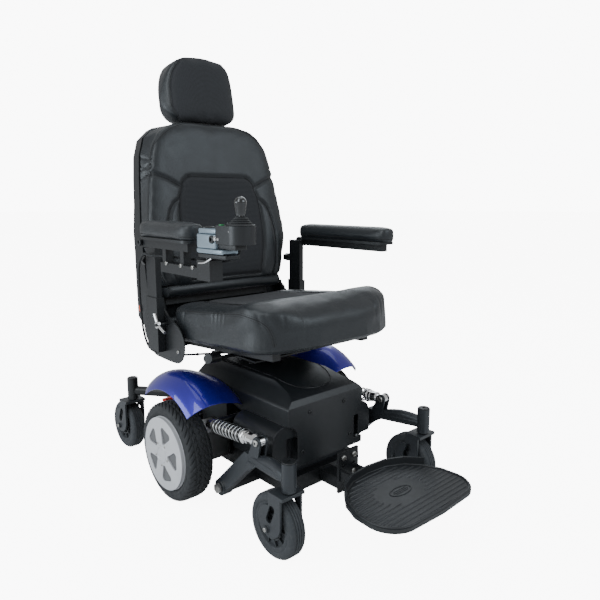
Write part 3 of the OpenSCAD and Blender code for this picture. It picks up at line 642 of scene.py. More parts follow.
def distance_to(points, line):
    """Distance of 2-D points to an open or closed polyline."""
    best = np.full(len(points), 1e9)
    for a, b in zip(line[:-1], line[1:]):
        a, b = np.array(a, float), np.array(b, float)
        d = b - a
        t = np.clip(((points - a) @ d) / max(d @ d, 1e-9), 0, 1)
        best = np.minimum(best, np.linalg.norm(points - a - t[:, None] * d, axis=1))
    return best


def inside(points, outline):
    """Whether 2-D points are inside a closed outline."""
    hit = np.zeros(len(points), bool)
    for (x0, y0), (x1, y1) in zip(outline, outline[1:] + outline[:1]):
        crosses = (y0 > points[:, 1]) != (y1 > points[:, 1])
        slope = (x1 - x0) / ((y1 - y0) or 1e-9)
        hit ^= crosses & (points[:, 0] < x0 + (points[:, 1] - y0) * slope)
    return hit


def within(points, outline):
    """Distance inside a closed outline of each point, and below zero outside it."""
    sign = np.where(inside(points, outline), 1, -1)
    return sign * distance_to(points, outline + outline[:1])


def mark_panel(piece, values):
    """Stores where the knitted cloth is, for the upholstery's material."""
    attribute = piece.data.attributes.new("panel", "FLOAT", "POINT")
    attribute.data.foreach_set("value", np.asarray(values, np.float32))


def bell(distance, width):
    """1 on the line, falling off smoothly over the width."""
    return np.exp(-(distance / width) ** 2)


def press_in(piece, part, plane, facing, lines, width, depth):
    """Presses seam channels into the side of a cushion that faces one way.

    part gives the axes, plane picks the two that the lines are drawn in, and
    facing is (coordinate, sign) of the surface.
    """
    co, n = coords(piece), normals(piece)
    local = part.local(co)
    ahead = part.local(co + n * MM) - local
    weight = np.clip(ahead[:, facing[0]] * facing[1] * 2.5, 0, 1)
    drop = np.zeros(len(co))
    for line in lines:
        drop = np.maximum(drop, depth * bell(distance_to(local[:, plane], line), width))
    set_coords(piece, co - n * (drop * weight * MM)[:, None])


def laid_on(piece, points, direction, lift):
    """Moves points along a direction onto a piece, lifted a little off it."""
    before = 0.5      # how far ahead of each point its search starts, in metres
    tree = surface(piece)
    direction = Vector(direction).normalized()
    out = []
    for p in points:
        hit = tree.ray_cast(Vector(p) - direction * before, direction)
        if hit[0] is not None:
            out.append(hit[0] + hit[1] * lift * MM)
    return out


def snapped(tree, points, steps):
    """A smooth line through points, pulled onto a surface."""
    on_surface = [tree.find_nearest(p)[0] for p in points]
    return [tree.find_nearest(p)[0] for p in spline(on_surface, steps)]


def drawn_on_back(piece, line, direction, lift):
    """A smooth line of (sideways, height) points, laid on a piece of the back."""
    smooth = spline([(x, height, 0) for x, height in line], 5)
    return laid_on(piece, [BACK.point(p.x, 0, p.y) for p in smooth], direction, lift)


def stitches(points, tree, sideways):
    """Short thread bars beside a seam line, pulled onto the surface."""
    gap, length, radius = 6.5, 4.2, 0.45
    parts = []
    travelled = 0.0
    for a, b in zip(points[:-1], points[1:]):
        step = (b - a).length
        while travelled < step:
            p = a + (b - a) * (travelled / step)
            t = (b - a).normalized()
            hit = tree.find_nearest(p)
            side = t.cross(hit[1]).normalized()
            spot = tree.find_nearest(p + side * sideways * MM)
            middle = spot[0] + spot[1] * radius * 0.4 * MM
            bow = spot[1] * radius * 0.8 * MM
            parts.append(tube([middle - t * length * 0.5 * MM - bow, middle,
                               middle + t * length * 0.5 * MM - bow], radius, 5))
            travelled += gap * MM
        travelled -= step
    return merged(parts)


def sew(cushion, label, lines, body, stitched=True):
    """A seam cord along each line of points, with a row of stitches on each side."""
    cords = merged([tube(line, 1.0, 6) for line in lines])
    new_piece(label + "_seams", *cords, "thread", body, "black_vinyl", 60)
    if stitched:
        tree = surface(cushion)
        rows = [stitches(line, tree, sideways) for line in lines for sideways in (-4.5, 4.5)]
        new_piece(label + "_stitches", *merged(rows), "thread", body, "black_vinyl", 60)


def finish_soft(piece, look, body, node):
    """Puts an upholstered piece on its body in the place of its CAD solid."""
    finish_mesh(piece, look, "black_vinyl", 180)
    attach(piece, body)
    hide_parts(node)


# ---------------- base

LID_TRIM = ("soft_plastic", "base", "black_cover")


def build_base():
    dress("frame", "chassis_frame", "footplate_bracket", "power_module")
    dress("battery", "batteries")
    dress("grey", "gearmotor_right", "gearmotor_left")
    dress("zinc", "pivot_bolts")
    dress("red", "freewheel_lever_right", "freewheel_lever_left")
    for side in SIDES:
        skin("fender_" + side, "blue", "metallic_blue", radius=1.2, smooth=40)
    build_lid(skin("base_shroud", "cover", "black_cover", radius=5.0, smooth=24))
    fixings = [(mm(x, AXLE_Y - 290, z), FRONT) for x, z in ((-84, 166), (84, 166), (-60, 262), (60, 262))]
    screws("shroud_screws", fixings, 5.5, 2.5, *LID_TRIM)
    caps = [(mm(s * 220, AXLE_Y + 345, 232), UP) for s in (-1, 1)]
    screws("rear_stem_caps", caps, 15.2, 3.0, "soft_plastic", "base", "black_frame", 0.3)
    bolts = [(mm(x, AXLE_Y - 366, z), FRONT) for x in (-18, 18) for z in (112, 156)]
    screws("bracket_bolts", bolts, 7, 4, "zinc", "base", "zinc_steel")


def build_lid(shroud):
    """Two dark plugs, the lid's seam, its rear bar and the post's collar, on top of the shroud."""
    above = 400      # higher than all of the shroud
    plugs = [(laid_on(shroud, [mm(x, 30, above)], DOWN, 0)[0], UP) for x in (62, -62)]
    screws("shroud_plugs", plugs, 8, 3.5, *LID_TRIM)
    seam = [(80, 190), (80, 20), (80, -90), (66, -142), (40, -168), (2, -176)]
    for side, s in SIDES.items():
        path = spline([mm(s * x, y, above) for x, y in seam], 12)
        new_piece("lid_seam_" + side, *tube(laid_on(shroud, path, DOWN, 0), 1.1, 6), *LID_TRIM, 60)
    profile = [(160, 341), (160, 344), (163, 346), (183, 346), (186, 344), (186, 341)]
    stations = [(-92, 0.8), (-88, 1), (88, 1), (92, 0.8)]
    bar = new_piece("lid_rear_bar", *swept(profile, stations, mm), "soft_plastic", None, "black_cover")
    with_modifier(bar, "BEVEL", width=1.5 * MM, segments=2)
    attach(bar, "base")
    ring = [(31, -4), (44, -4), (44, 1), (42, 3.5), (38, 4), (34, 2.5), (31, 2.5)]
    new_piece("post_collar", *lathe(ring + ring[:1], mm(0, POST_Y, 343), UP, 64), *LID_TRIM, 40)


# ---------------- wheels

def tread(angle, r, x):
    """Radius of the drive tyre with its blocks cut in."""
    edge, blocks = 119, 44      # the radius where the tread starts, and the blocks in a turn
    if r < edge:
        return r
    pitch = 2 * math.pi / blocks
    row = abs(x)
    depth = 0.0
    for groove, sway in ((6.5, 2.2 * math.sin(angle * blocks)), (19.0, 0.0)):
        if abs(row - groove - sway) < 1.6:
            depth = 2.8
    shift = 0.5 * pitch * (row > 19) + 0.012 * row
    phase = ((angle + shift) % pitch) / pitch
    if row > 8 and phase < 0.24:
        depth = 3.0
    if row <= 6.5 and phase < 0.10:
        depth = 1.2
    return r - depth * min(1.0, (r - edge) / 4)


def shoulder(r, x, size_r, size_x, angles):
    """The round of a tyre between its side and its crown."""
    return [(r + size_r * math.sin(math.radians(a)), x + size_x * math.cos(math.radians(a)))
            for a in angles]


def both_faces(half, crown):
    """A tyre's profile from one face over the crown to the other."""
    return half + crown + [(r, -x) for r, x in reversed(half)]


def build_wheels():
    wall = [(93, 27), (96, 28.5), (99, 32.5), (102, 33.6), (103, 34.4), (106, 35), (109, 34.9),
            (110, 34.3), (111, 34.3), (112, 34.7), (116, 33.9), (118, 33.2), (119, 32.9)]
    wall += shoulder(119, 15.5, 11, 17.4, range(4, 88, 6))
    profile = both_faces(wall, [(WHEEL_R, x) for x in np.arange(15, -15.1, -1.0)])
    lip = [(93.5, 29), (95.5, 29.5), (96.5, 31), (96, 32.5), (94, 33), (91, 32), (91, 29.5)]
    boss = [(24, 42.5), (23.5, 45), (22, 46.3), (18.5, 46.6), (17.5, 45.4), (8, 45.2), (0.01, 45.6)]
    for side, s in SIDES.items():
        hub, axis, wheel = mm(s * 267, AXLE_Y, WHEEL_R), (s, 0, 0), "drive_wheel_" + side
        tyre = new_piece("drive_tyre_tread_" + side, *lathe(profile, hub, axis, 352, tread),
                         "tyre", wheel, "tyre_rubber", 34)
        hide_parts("drive_tyre_" + side)
        dress("rim", "drive_rim_" + side)
        dress("cap", "hubcap_" + side)
        new_piece("rim_lip_" + side, *lathe(lip + lip[:1], hub, axis, 96), "cap", wheel, "silver_cap", 40)
        new_piece("hub_centre_" + side, *lathe(boss, hub, axis, 64), "cap", wheel, "silver_cap", 30)
        new_piece("cap_windows_" + side, *cap_windows(hub, s), "window", wheel, "silver_cap", 20)
        nuts = [(hub + mm(s * 43.5, math.cos(a) * 30, math.sin(a) * 30), axis) for a in turn(5, 54)]
        screws("hub_screws_" + side, nuts, 3.2, 2.4, "zinc", wheel, "silver_cap")


def cap_windows(hub, s):
    """Five windows round the hubcap, each a slightly domed drop with its point inwards."""
    drop = arc(0, 36, 6.9, 180, 360, 8) + arc(14, 62, 8.9, -20, 80, 6) + arc(-14, 62, 8.9, 100, 200, 6)
    fan = [(i, (i + 1) % len(drop), len(drop)) for i in range(len(drop))]
    panes = []
    for angle in turn(5, 18):
        placed = Matrix.Rotation(angle, 3, "X")
        rim = [hub + placed @ mm(s * 40.3, y, z) for y, z in drop]
        panes.append((rim + [hub + placed @ mm(s * 40.9, 0, 54)], fan))
    return merged(panes)


def grooved(_, r, x):
    """Radius of the caster tyre with four grooves around it."""
    in_groove = any(abs(x - groove) < 0.9 for groove in (-9.6, -3.2, 3.2, 9.6))
    return r - 1.7 if r > 72 and in_groove else r


def caster_ribs(centre):
    """Ten tapering ribs and a ring on each face of a caster's hub."""
    foot = [(13, -1.6, 11), (13, 1.6, 11), (46, 1.6, 11), (46, -1.6, 11)]
    crest = [(13, -1.2, 21), (13, 1.2, 21), (46, 1.2, 17), (46, -1.2, 17)]
    ring = [(27, 11), (27, 18), (29, 18.5), (31, 18), (31, 11)]
    parts = []
    for face in (-1, 1):
        for a in turn(10):
            out, across = Vector((0, math.cos(a), math.sin(a))), Vector((0, -math.sin(a), math.cos(a)))
            ends = [[centre + (out * r + across * w) * MM + mm(face * x, 0, 0) for r, w, x in corners]
                    for corners in (foot, crest)]
            parts.append(plate(*ends))
        parts.append(lathe(ring, centre, (face, 0, 0)))
    return merged(parts)


def build_casters():
    wheel_r, trail = 75, 38
    half = [(5.1, 25.5), (13, 25.5), (13, 24), (14, 22), (15, 13.5), (40, 12), (43, 13), (45.5, 18.5),
            (48, 19.6), (52, 19.9), (54, 19.2), (55.5, 19.2), (57, 20.3), (61, 20.9), (64, 20.6), (67, 19.6)]
    half += shoulder(62, 8, 13, 13, range(30, 88, 8))
    profile = both_faces(half, [(wheel_r, x) for x in np.arange(11.6, -11.7, -0.8)])
    for end, stem_x, stem_y in (("front", 235, -414), ("rear", 220, 345)):
        for side, s in SIDES.items():
            name, fork = "caster_%s_%s" % (end, side), "fork_%s_%s" % (end, side)
            centre = mm(s * stem_x, AXLE_Y + stem_y + trail, wheel_r)
            tyre = new_piece(name + "_tyre", *lathe(profile, centre, (1, 0, 0), 128, grooved),
                             "caster", name, "caster_rubber", 34)
            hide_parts(name)
            new_piece(name + "_ribs", *caster_ribs(centre), "hub", name, "caster_rubber", 30)
            skin(fork, "fork", "black_frame", radius=1.0)
            bolts = [(centre + mm(w * 37.5, 0, 0), (w, 0, 0)) for w in (-1, 1)]
            screws(fork + "_bolts", bolts, 5, 1.5, "zinc", fork, "zinc_steel")


# ---------------- suspension

def build_suspension():
    rise = math.radians(5.09)
    along = Vector((0, -math.cos(rise), math.sin(rise)))
    collar = [(17, 146), (18.4, 147), (18.4, 150), (17, 152), (14.5, 154), (14.5, 158), (15.6, 159),
              (15.6, 162), (14, 163.5), (14, 181), (11, 184), (8.2, 186), (8.2, 190), (0.01, 192)]
    bend = [(216, -250, 168), (218, -290, 186), (224, -340, 199), (231, -380, 199), (235, -408, 194)]
    for side, s in SIDES.items():
        arm = "front_arm_" + side
        skin(arm, "arm", "grey_metal", radius=2.0)
        dress("chrome", "shock_body_" + side)
        dress("zinc", "shock_rod_" + side)
        eye = mm(s * 216, AXLE_Y - 90, 214)
        spring = new_piece("coil_spring_" + side, *tube(coil(eye, along), 2.7, 10), "coil", None,
                           "chrome", 60)
        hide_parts("shock_spring_" + side)
        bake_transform(spring)
        new_piece("shock_collar_" + side, *lathe(collar, eye, along), "chrome",
                  "shock_body_" + side, "chrome", 40)
        pins = [(mm(s * x, AXLE_Y - 292, 232), (s * w, 0, 0)) for x, w in ((229, 1), (203, -1))]
        screws("arm_pin_heads_" + side, pins, 8, 4, "zinc", arm, "zinc_steel")
        screws("front_stem_cap_" + side, [(mm(s * 235, AXLE_Y - 414, 232), UP)], 15.2, 3.0,
               "soft_plastic", arm, "black_frame", 0.3)
        # Curved tube from the arm's knee to the stem housing
        knee = spline([mm(s * x, AXLE_Y + y, z) for x, y, z in bend], 8)
        new_piece("arm_tube_" + side, *tube(knee, 12.5, 20), "arm", arm, "grey_metal", 50)


def coil(eye, along):
    """Centre line of a shock's spring."""
    turns, steps, radius, start, length = 8.5, 28, 16.2, 26.8, 116.4
    across = Vector((1, 0, 0))
    up = along.cross(across)
    points = []
    for i in range(int(turns * steps) + 1):
        a = 2 * math.pi * i / steps
        reach = start + length * i / (turns * steps)
        points.append(eye + (along * reach + (across * math.cos(a) + up * math.sin(a)) * radius) * MM)
    return points


# ---------------- seat

def build_seat():
    dress("frame", "seat_frame")
    dress("soft_plastic", "seat_lever")
    dress("chrome", "recline_lever")
    cushion = puffed("seat_cushion", "seat_upholstery", voxel=6, smoothing=8, cap=7, shrink=2)
    fit_to(cushion, "seat_cushion", SEAT, 1.0)
    hold_to(cushion, "seat_cushion", (50 - SEAT.local(coords(cushion))[:, 2]) / 30)
    panel = (arc(-88, 40, 50, 180, 90, 8) + arc(88, 40, 50, 90, 0, 8)
             + arc(84, -160, 62, 0, -90, 10) + arc(-84, -160, 62, -90, -180, 10))
    loop = panel + panel[:1]
    press_in(cushion, SEAT, [0, 1], (2, 1), [loop], width=7, depth=4.5)
    local = SEAT.local(coords(cushion))
    top = local[:, 2] > 60
    mark_panel(cushion, np.where(top, within(local[:, :2], panel), -20.0))

    # A slack seat: the middle dips a little between the thigh rolls
    co = coords(cushion)
    co[:, 2] -= 7 * MM * bell(local[:, 0], 120) * bell(local[:, 1] + 90, 130) * top
    set_coords(cushion, co)
    crease_seat(cushion)

    # Boxing seam along each side's top edge, and the panel's seam
    tree = surface(cushion)
    edge = [(226, 96, 80), (228, 0, 88), (228, -120, 92), (227, -210, 92), (222, -262, 82),
            (212, -292, 66), (204, -304, 44), (200, -308, 20)]
    boxing = [snapped(tree, [SEAT.point(s * x, y, height) for x, y, height in edge], 8) for s in (-1, 1)]
    seam = laid_on(cushion, [SEAT.point(x, y, 100) for x, y in loop],
                   SEAT.point(0, 0, 0) - SEAT.point(0, 0, 1), 0.2)
    sew(cushion, "seat", [seam] + boxing, "seat")
    finish_soft(cushion, "upholstery", "seat", "seat_cushion")
    build_recliner_covers()


def crease_seat(cushion):
    """Creases in the sides and the front, below the boxing seam."""
    co, n = coords(cushion), normals(cushion)
    local = SEAT.local(co)
    side, front = np.zeros(len(co)), np.zeros(len(co))
    for y, size, slant in ((-95, 1.0, 0.1), (-112, 1.3, 0.0), (-128, 0.9, -0.1), (-146, 0.7, -0.1),
                           (-268, 1.2, 0.3), (-284, 1.0, 0.35), (35, 0.8, 0.0)):
        above = local[:, 2] - 80
        line = local[:, 1] - y - slant * above
        side = np.maximum(side, size * bell(above, 22) * bell(line, 4.0))
    for x in (-168, -120, 120, 150, 168):
        front = np.maximum(front, bell(local[:, 2] - 70, 30) * bell(local[:, 0] - x, 4.5))
    side *= 1.6 * np.clip(np.abs(n[:, 0]) * 1.6 - 0.5, 0, 1)
    front *= 1.1 * np.clip(-n[:, 1] * 1.6 - 0.3, 0, 1)
    set_coords(cushion, co - n * ((side + front) * MM)[:, None])


def build_recliner_covers():
    """Plates beside the recline hinges, with their screws."""
    inner, outer = 238.2, 240.6
    cover = [(208, 440), (204, 412), (192, 388), (174, 368), (150, 354), (120, 350), (40, 350),
             (10, 358), (-8, 380), (-12, 412), (4, 440), (40, 462), (84, 476), (150, 478), (192, 466)]
    outline = spline([(0, y, z) for y, z in cover + cover[:1]], 4)[:-1]
    for side, s in SIDES.items():
        faces = [[mm(s * x, AXLE_Y + p.y, p.z) for p in outline] for x in (inner, outer)]
        new_piece("recliner_cover_" + side, *plate(*faces), "shell", "seat", "black_cover")
        fixings = [(mm(s * outer, AXLE_Y + y, z), (s, 0, 0)) for y, z in ((176, 452), (160, 384), (20, 384))]
        screws("cover_screws_" + side, fixings, 5, 2.5, "zinc", "seat", "zinc_steel")


# ---------------- back

# The back shell's rim, as height and half width
SHELL_RIM = [(255, 235), (330, 228), (400, 221), (462, 213), (510, 196), (540, 163), (553, 110)]


def build_back():
    dress("frame", "back_frame")
    dress("chrome", "headrest_posts")
    cushion = puffed("back_cushion", "back_upholstery", voxel=6, smoothing=6, cap=6, shrink=2)
    fit_to(cushion, "back_cushion", BACK, 1.0)
    hold_to(cushion, "back_cushion", (BACK.local(coords(cushion))[:, 1] - 14) / 22)
    widen_to_rim(cushion)

    middle = [(122, 104), (139, 180), (143, 250), (140, 300), (136, 335), (128, 356)]
    panel = mirrored(middle + arc(88, 356, 40, 0, 90, 8)[1:])
    seams = [panel + panel[:1]]
    for s in (-1, 1):
        shoulder = [(124, 364), (146, 376), (176, 390), (214, 402)]
        bolster = [(136, 332), (158, 318), (172, 298), (182, 268), (190, 231), (191, 190), (182, 130),
                   (168, 96)]
        seams += [[(s * x, height) for x, height in line] for line in (shoulder, bolster)]
    press_in(cushion, BACK, [0, 2], (1, -1), seams, width=6, depth=4.5)
    shape_bolsters(cushion)
    local = BACK.local(coords(cushion))
    mark_panel(cushion, np.where(local[:, 1] < 32, within(local[:, [0, 2]], panel), -20.0))
    crumple_shoulders(cushion)

    lines = [drawn_on_back(cushion, line, BACK.rear, 0.2) for line in seams]
    edge = mirrored([(150, 92), (196, 100), (212, 125), (222, 165), (233, 205), (233, 255), (226, 320),
                     (212, 395), (206, 425), (190, 466), (164, 502), (128, 527), (80, 539), (0, 541)])
    boxing = snapped(surface(cushion), [BACK.point(x, 16, height) for x, height in edge], 6)
    sew(cushion, "back", lines + [boxing], "back")
    finish_soft(cushion, "upholstery", "back", "back_cushion")
    build_back_shell()


def widen_to_rim(cushion):
    """Toward the rear the side panels widen to meet the shell's rim."""
    own_edge = [(255, 235), (320, 227), (395, 215), (432, 209), (480, 195), (518, 171), (542, 135)]
    local = BACK.local(coords(cushion))
    depth, height = local[:, 1], local[:, 2]
    rim_x, own_x = np.interp(height, *zip(*SHELL_RIM)), np.interp(height, *zip(*own_edge))
    wider = np.clip(rim_x / own_x - 1, 0, 0.15) * np.clip((depth - 25) / 30, 0, 1)
    local[:, 0] *= 1 + wider * np.clip((548 - height) / 20, 0, 1)
    set_coords(cushion, BACK.world(local))


def shape_bolsters(cushion):
    """Side bolsters stand forward of the middle, which is a little hollow."""
    co = coords(cushion)
    local = BACK.local(co)
    facing = np.clip((30 - local[:, 1]) / 20, 0, 1)
    bolster = bell(np.abs(local[:, 0]) - 168, 26) * bell(local[:, 2] - 215, 120)
    hollow = bell(local[:, 0], 90) * bell(local[:, 2] - 250, 130)
    lift = (6 * bolster - 3 * hollow) * facing
    set_coords(cushion, co - lift[:, None] * np.array(BACK.rear) * MM)


def crumple_shoulders(cushion):
    """Zigzag crumples at the shoulders, where the boxing turns."""
    co, n = coords(cushion), normals(cushion)
    local = BACK.local(co)
    crumple = np.zeros(len(co))
    for k, height in enumerate((405, 417, 430, 441)):
        line = local[:, 2] - height + 0.35 * np.abs(local[:, 1] - 20) * (-1) ** k
        crumple = np.maximum(crumple, bell(line, 3.5))
    sideways = np.clip(np.abs(n[:, 0]) * 1.5 - 0.4, 0, 1)
    set_coords(cushion, co - n * (crumple * sideways * 1.6 * MM)[:, None])


def build_back_shell():
    # Flap that closes the gap below the cushion
    profile = [(58, 90), (12, 92), (8, 84), (9, 72), (14, 64), (24, 60), (58, 61)]
    stations = [(-198, 0.86), (-194, 0.96), (-186, 1), (186, 1), (194, 0.96), (198, 0.86)]
    new_piece("back_flap", *swept(profile, stations, BACK.point), "vinyl", "back", "black_vinyl", 50)

    # Board that closes the shell behind the cushion
    board = mirrored([(232, 62), (234, 120)] + [(x - 1, height - 2) for height, x in SHELL_RIM])
    faces = [[BACK.point(x, depth, height) for x, height in board] for depth in (62.8, 64.5)]
    new_piece("shell_board", *plate(*faces), "vinyl", "back", "black_cover")

    # The shell's fixing screws, and a moulded line inside its edge
    shell = skin("back_shell", "shell", "black_cover", radius=3.0, smooth=38)
    spots = [BACK.point(s * x, 0, height)
             for x, height in ((170, 70), (190, 300), (120, 500)) for s in (1, -1)]
    fixings = [(p, BACK.rear) for p in laid_on(shell, spots, -BACK.rear, 0)]
    screws("shell_screws", fixings, 7, 2.5, "soft_plastic", "back", "black_cover", 0.4)
    line = mirrored([(0, 24), (150, 24), (186, 34), (204, 70), (206, 240), (200, 330), (192, 400),
                     (183, 458), (166, 496), (138, 520), (96, 530), (0, 531)])
    groove = drawn_on_back(shell, line + line[:1], -BACK.rear, 0)
    new_piece("shell_line", *tube(groove, 1.6, 6), "soft_plastic", "back", "black_cover", 60)
    lens = [(9.5, -1), (9.5, 1.2), (8.5, 2.2), (4, 2.8), (0.01, 3)]
    ring = [(9.4, -1), (9.4, 2), (10.2, 2.6), (11.2, 2), (11.2, -1)]
    for side, s in SIDES.items():
        place, axis = BACK.point(s * 236, 120, 38), (s, 0, 0)
        new_piece("reflector_" + side, *lathe(lens, place, axis, 40), "reflector", "back", "red_plastic", 40)
        new_piece("reflector_ring_" + side, *lathe(ring, place, axis, 40), "soft_plastic", "back",
                  "black_cover", 40)
        fixings = [(BACK.point(s * 224, depth, 70), axis) for depth in (60, 40)]
        screws("hinge_screws_" + side, fixings, 5, 2.5, "zinc", "back", "zinc_steel")


def build_headrest():
    head = puffed("headrest_cushion", "headrest_upholstery", voxel=5, smoothing=8, cap=5, shrink=2)
    fit_to(head, "headrest_cushion", BACK, 1.5)
    share = np.clip((BACK.local(coords(head))[:, 1] - 20) / 80, 0, 0.55)
    hold_to(head, "headrest_cushion", share)
    set_coords(head, relax(coords(head), edge_pairs(head), 6))
    fit_to(head, "headrest_cushion", BACK, 1.5)
    # The lower corners turn in
    local = BACK.local(coords(head))
    local[:, 0] *= 1 - 0.14 * np.clip((606 - local[:, 2]) / 44, 0, 1) ** 2
    set_coords(head, BACK.world(local))
    half = [(0, 560), (66, 561), (88, 567), (106, 598), (106, 660), (96, 700), (74, 730), (40, 744),
            (0, 748)]
    edges = [[(s * x, height) for x, height in half[2:7]] for s in (-1, 1)]
    press_in(head, BACK, [0, 2], (1, -1), edges, width=5, depth=2)
    local = BACK.local(coords(head))
    cloth = within(local[:, [0, 2]], mirrored(half))
    # The cloth goes over the top to the back
    over = np.where(local[:, 2] > 725, 104 - np.abs(local[:, 0]) - 0.2 * local[:, 1], -20.0)
    mark_panel(head, np.where(local[:, 1] < 45, np.maximum(cloth, over), over))
    seams = [drawn_on_back(head, line, BACK.rear, 0.2) for line in edges]
    sew(head, "headrest", seams, "headrest")
    finish_soft(head, "upholstery", "headrest", "headrest_cushion")


# ---------------- arms

def build_arms():
    for side, s in SIDES.items():
        dress("frame", "arm_bar_" + side, "arm_post_" + side)
        build_arm_pad(side, s)
        raised = 24 if side == "right" else 0
        pivot = mm(s * 288, AXLE_Y + 113, 643 + raised)
        screws("arm_pivot_cap_" + side, [(pivot, (s, 0, 0))], 10, 4, "soft_plastic", "arm_post_" + side,
               "black_frame")


def build_arm_pad(side, s):
    """A padded arm pad with one seam around it, on a thin moulded base."""
    body, middle, half_width, crown, bulge = "armrest_" + side, 272, 29, 3, 2.5
    pad = puffed("arm_pad_" + side, "arm_pad_upholstery_" + side, voxel=4, smoothing=8, cap=3, shrink=1)
    fit_to(pad, "arm_pad_" + side, UPRIGHT, 0.5)
    local = UPRIGHT.local(coords(pad))
    low, high = local[:, 2].min(), local[:, 2].max()
    share = (local[:, 2] - low) / (high - low)
    across = (local[:, 0] - s * middle) / half_width
    local[:, 2] += crown * np.clip(1 - across ** 2, 0, 1) * share
    local[:, 0] += bulge * np.clip(1 - np.abs(share - 0.5) * 2, 0, 1) * np.sign(across)
    set_coords(pad, UPRIGHT.world(local))

    local = UPRIGHT.local(coords(pad))
    tree = surface(pad)
    (x0, y0, z0), (x1, y1, _) = local.min(axis=0), local.max(axis=0)
    seam_z = low + (high - low) * 0.3
    loop = [tree.find_nearest(mm(x, y, seam_z))[0] for x, y in rounded_box(x0, y0, x1, y1, 22)]
    sew(pad, "arm_pad_" + side, [loop + loop[:1]], body, stitched=False)
    finish_soft(pad, "vinyl", body, "arm_pad_" + side)
    outline = rounded_box(x0 + 3, y0 + 3, x1 - 3, y1 - 3, 20)
    faces = [[mm(x, y, z) for x, y in outline] for z in (z0 - 1, z0 + 6)]
    new_piece("pad_plate_" + side, *plate(*faces), "soft_plastic", body, "black_cover", 40)


# ---------------- joystick

PIN = (-273, AXLE_Y - 190)      # the swing pin, seen from above


def tongue(radius, reach, half):
    """Outline round the swing pin and forward, seen from above."""
    front, corner = AXLE_Y - reach, 5
    return (arc(*PIN, radius, 0, 180, 16)
            + arc(PIN[0] - half + corner, front + corner, corner, 180, 270, 5)
            + arc(PIN[0] + half - corner, front + corner, corner, 270, 360, 5))


def build_bracket():
    """The cast bracket on its pin, and what is fixed to it."""
    layers = [(661, 671, 27, 272, 22), (672, 702, 26, 248, 23), (703, 714, 22, 246, 19)]
    body = merged([slab(tongue(radius, reach, half), low, high, 2.5)
                   for low, high, radius, reach, half in layers])
    bracket = new_piece("bracket_body", *body, "cast", "joystick", "cast_bracket")
    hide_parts("swing_bracket")
    dark = ("soft_plastic", "joystick", "stick_black")
    new_piece("bracket_plate", *slab(tongue(24, 282, 19), 651, 660, 2), *dark)
    new_piece("bracket_tongue", *slab(tongue(15, 312, 15), 672, 684, 2), *dark)
    screws("bracket_screw", [(mm(-295.5, AXLE_Y - 238, 692), (-1, 0, 0))], 9, 4.5, *dark, 0.5)
    dome = [(15, 714), (15, 716), (12, 717.5), (6, 718.3), (0.01, 718.5)]
    new_piece("bracket_pin_cap", *lathe(dome, mm(*PIN, 0), UP), *dark, 40)
    rings = [(6, -24), (6.5, -18), (5, -17), (5, -7), (6.5, -6), (6.5, 0), (4, 1.5), (0.01, 2)]
    link = lathe(rings, mm(-293, AXLE_Y - 266, 694), FRONT, 40)
    new_piece("bracket_link", *link, "chrome", "joystick", "chrome", 40)
    ring = [(27, 722), (29, 722), (29.5, 723.5), (28, 724.6), (26.5, 724)]
    new_piece("stick_ring", *lathe(ring, mm(-268, AXLE_Y - 303, 0), UP, 64), *dark, 40)


def build_joystick():
    dress("frame", "joystick_mount")
    skin("joystick_housing", "cover", "stick_black", radius=2.5)
    dress("grey", "joystick_gimbal")
    dress("knob", "joystick_stick")
    dress("soft_rubber", "joystick_boot")
    dress("green", "power_button")
    dress("yellow", "horn_button")
    dress("soft_plastic", "speed_dial")
    build_bracket()
    # Chrome release rod under the bracket, and the slide's thumbscrews
    bend = [(-288, -170, 636), (-291, -200, 640), (-288, -222, 650)]
    rod = spline([mm(x, AXLE_Y + y, z) for x, y, z in bend], 6)
    new_piece("release_rod", *tube(rod, 2.4, 10), "chrome", "armrest_right", "chrome", 60)
    heads = [(mm(-286, AXLE_Y + y, 623), (-1, 0, 0)) for y in (-140, -88, -20)]
    screws("slide_screws", heads, 5, 3, "zinc", "armrest_right", "zinc_steel")


# ---------------- footplate

PLATE_X, PLATE_TOP = 12, 124      # the footplate's middle and its top face


def foot_outline(inset):
    """The footplate seen from above, from heel to toe and back."""
    half_width, toe, corner = 160, -634, 66
    half = [(0, -412), (60, -418), (106, -440), (138, -476), (half_width - 3, -520)]
    half += arc(half_width - corner, toe + 70, corner, 8, -80, 12) + [(0, toe)]
    middle_y, reach_x, reach_y = -525, 150, 110
    return [(x - x * inset / reach_x, y + (middle_y - y) * inset / reach_y) for x, y in mirrored(half)]


def ridge_runs(outline):
    """Start, end and place of each ridge across the plate, broken around the oval boss."""
    shortest = 12
    for y in range(-622, -414, 13):
        across = [x for x in range(-160, 161, 2) if inside(np.array([[x, y]], float), outline)[0]]
        if not across:
            continue
        runs = [(across[0], across[-1])]
        clear = 1 - ((y + 520) / 46) ** 2
        if clear > 0:
            gap = 72 * math.sqrt(clear)
            runs = [(across[0], -gap - 6), (gap - 6, across[-1])]
        yield from ((a, b, y) for a, b in runs if b - a > shortest)


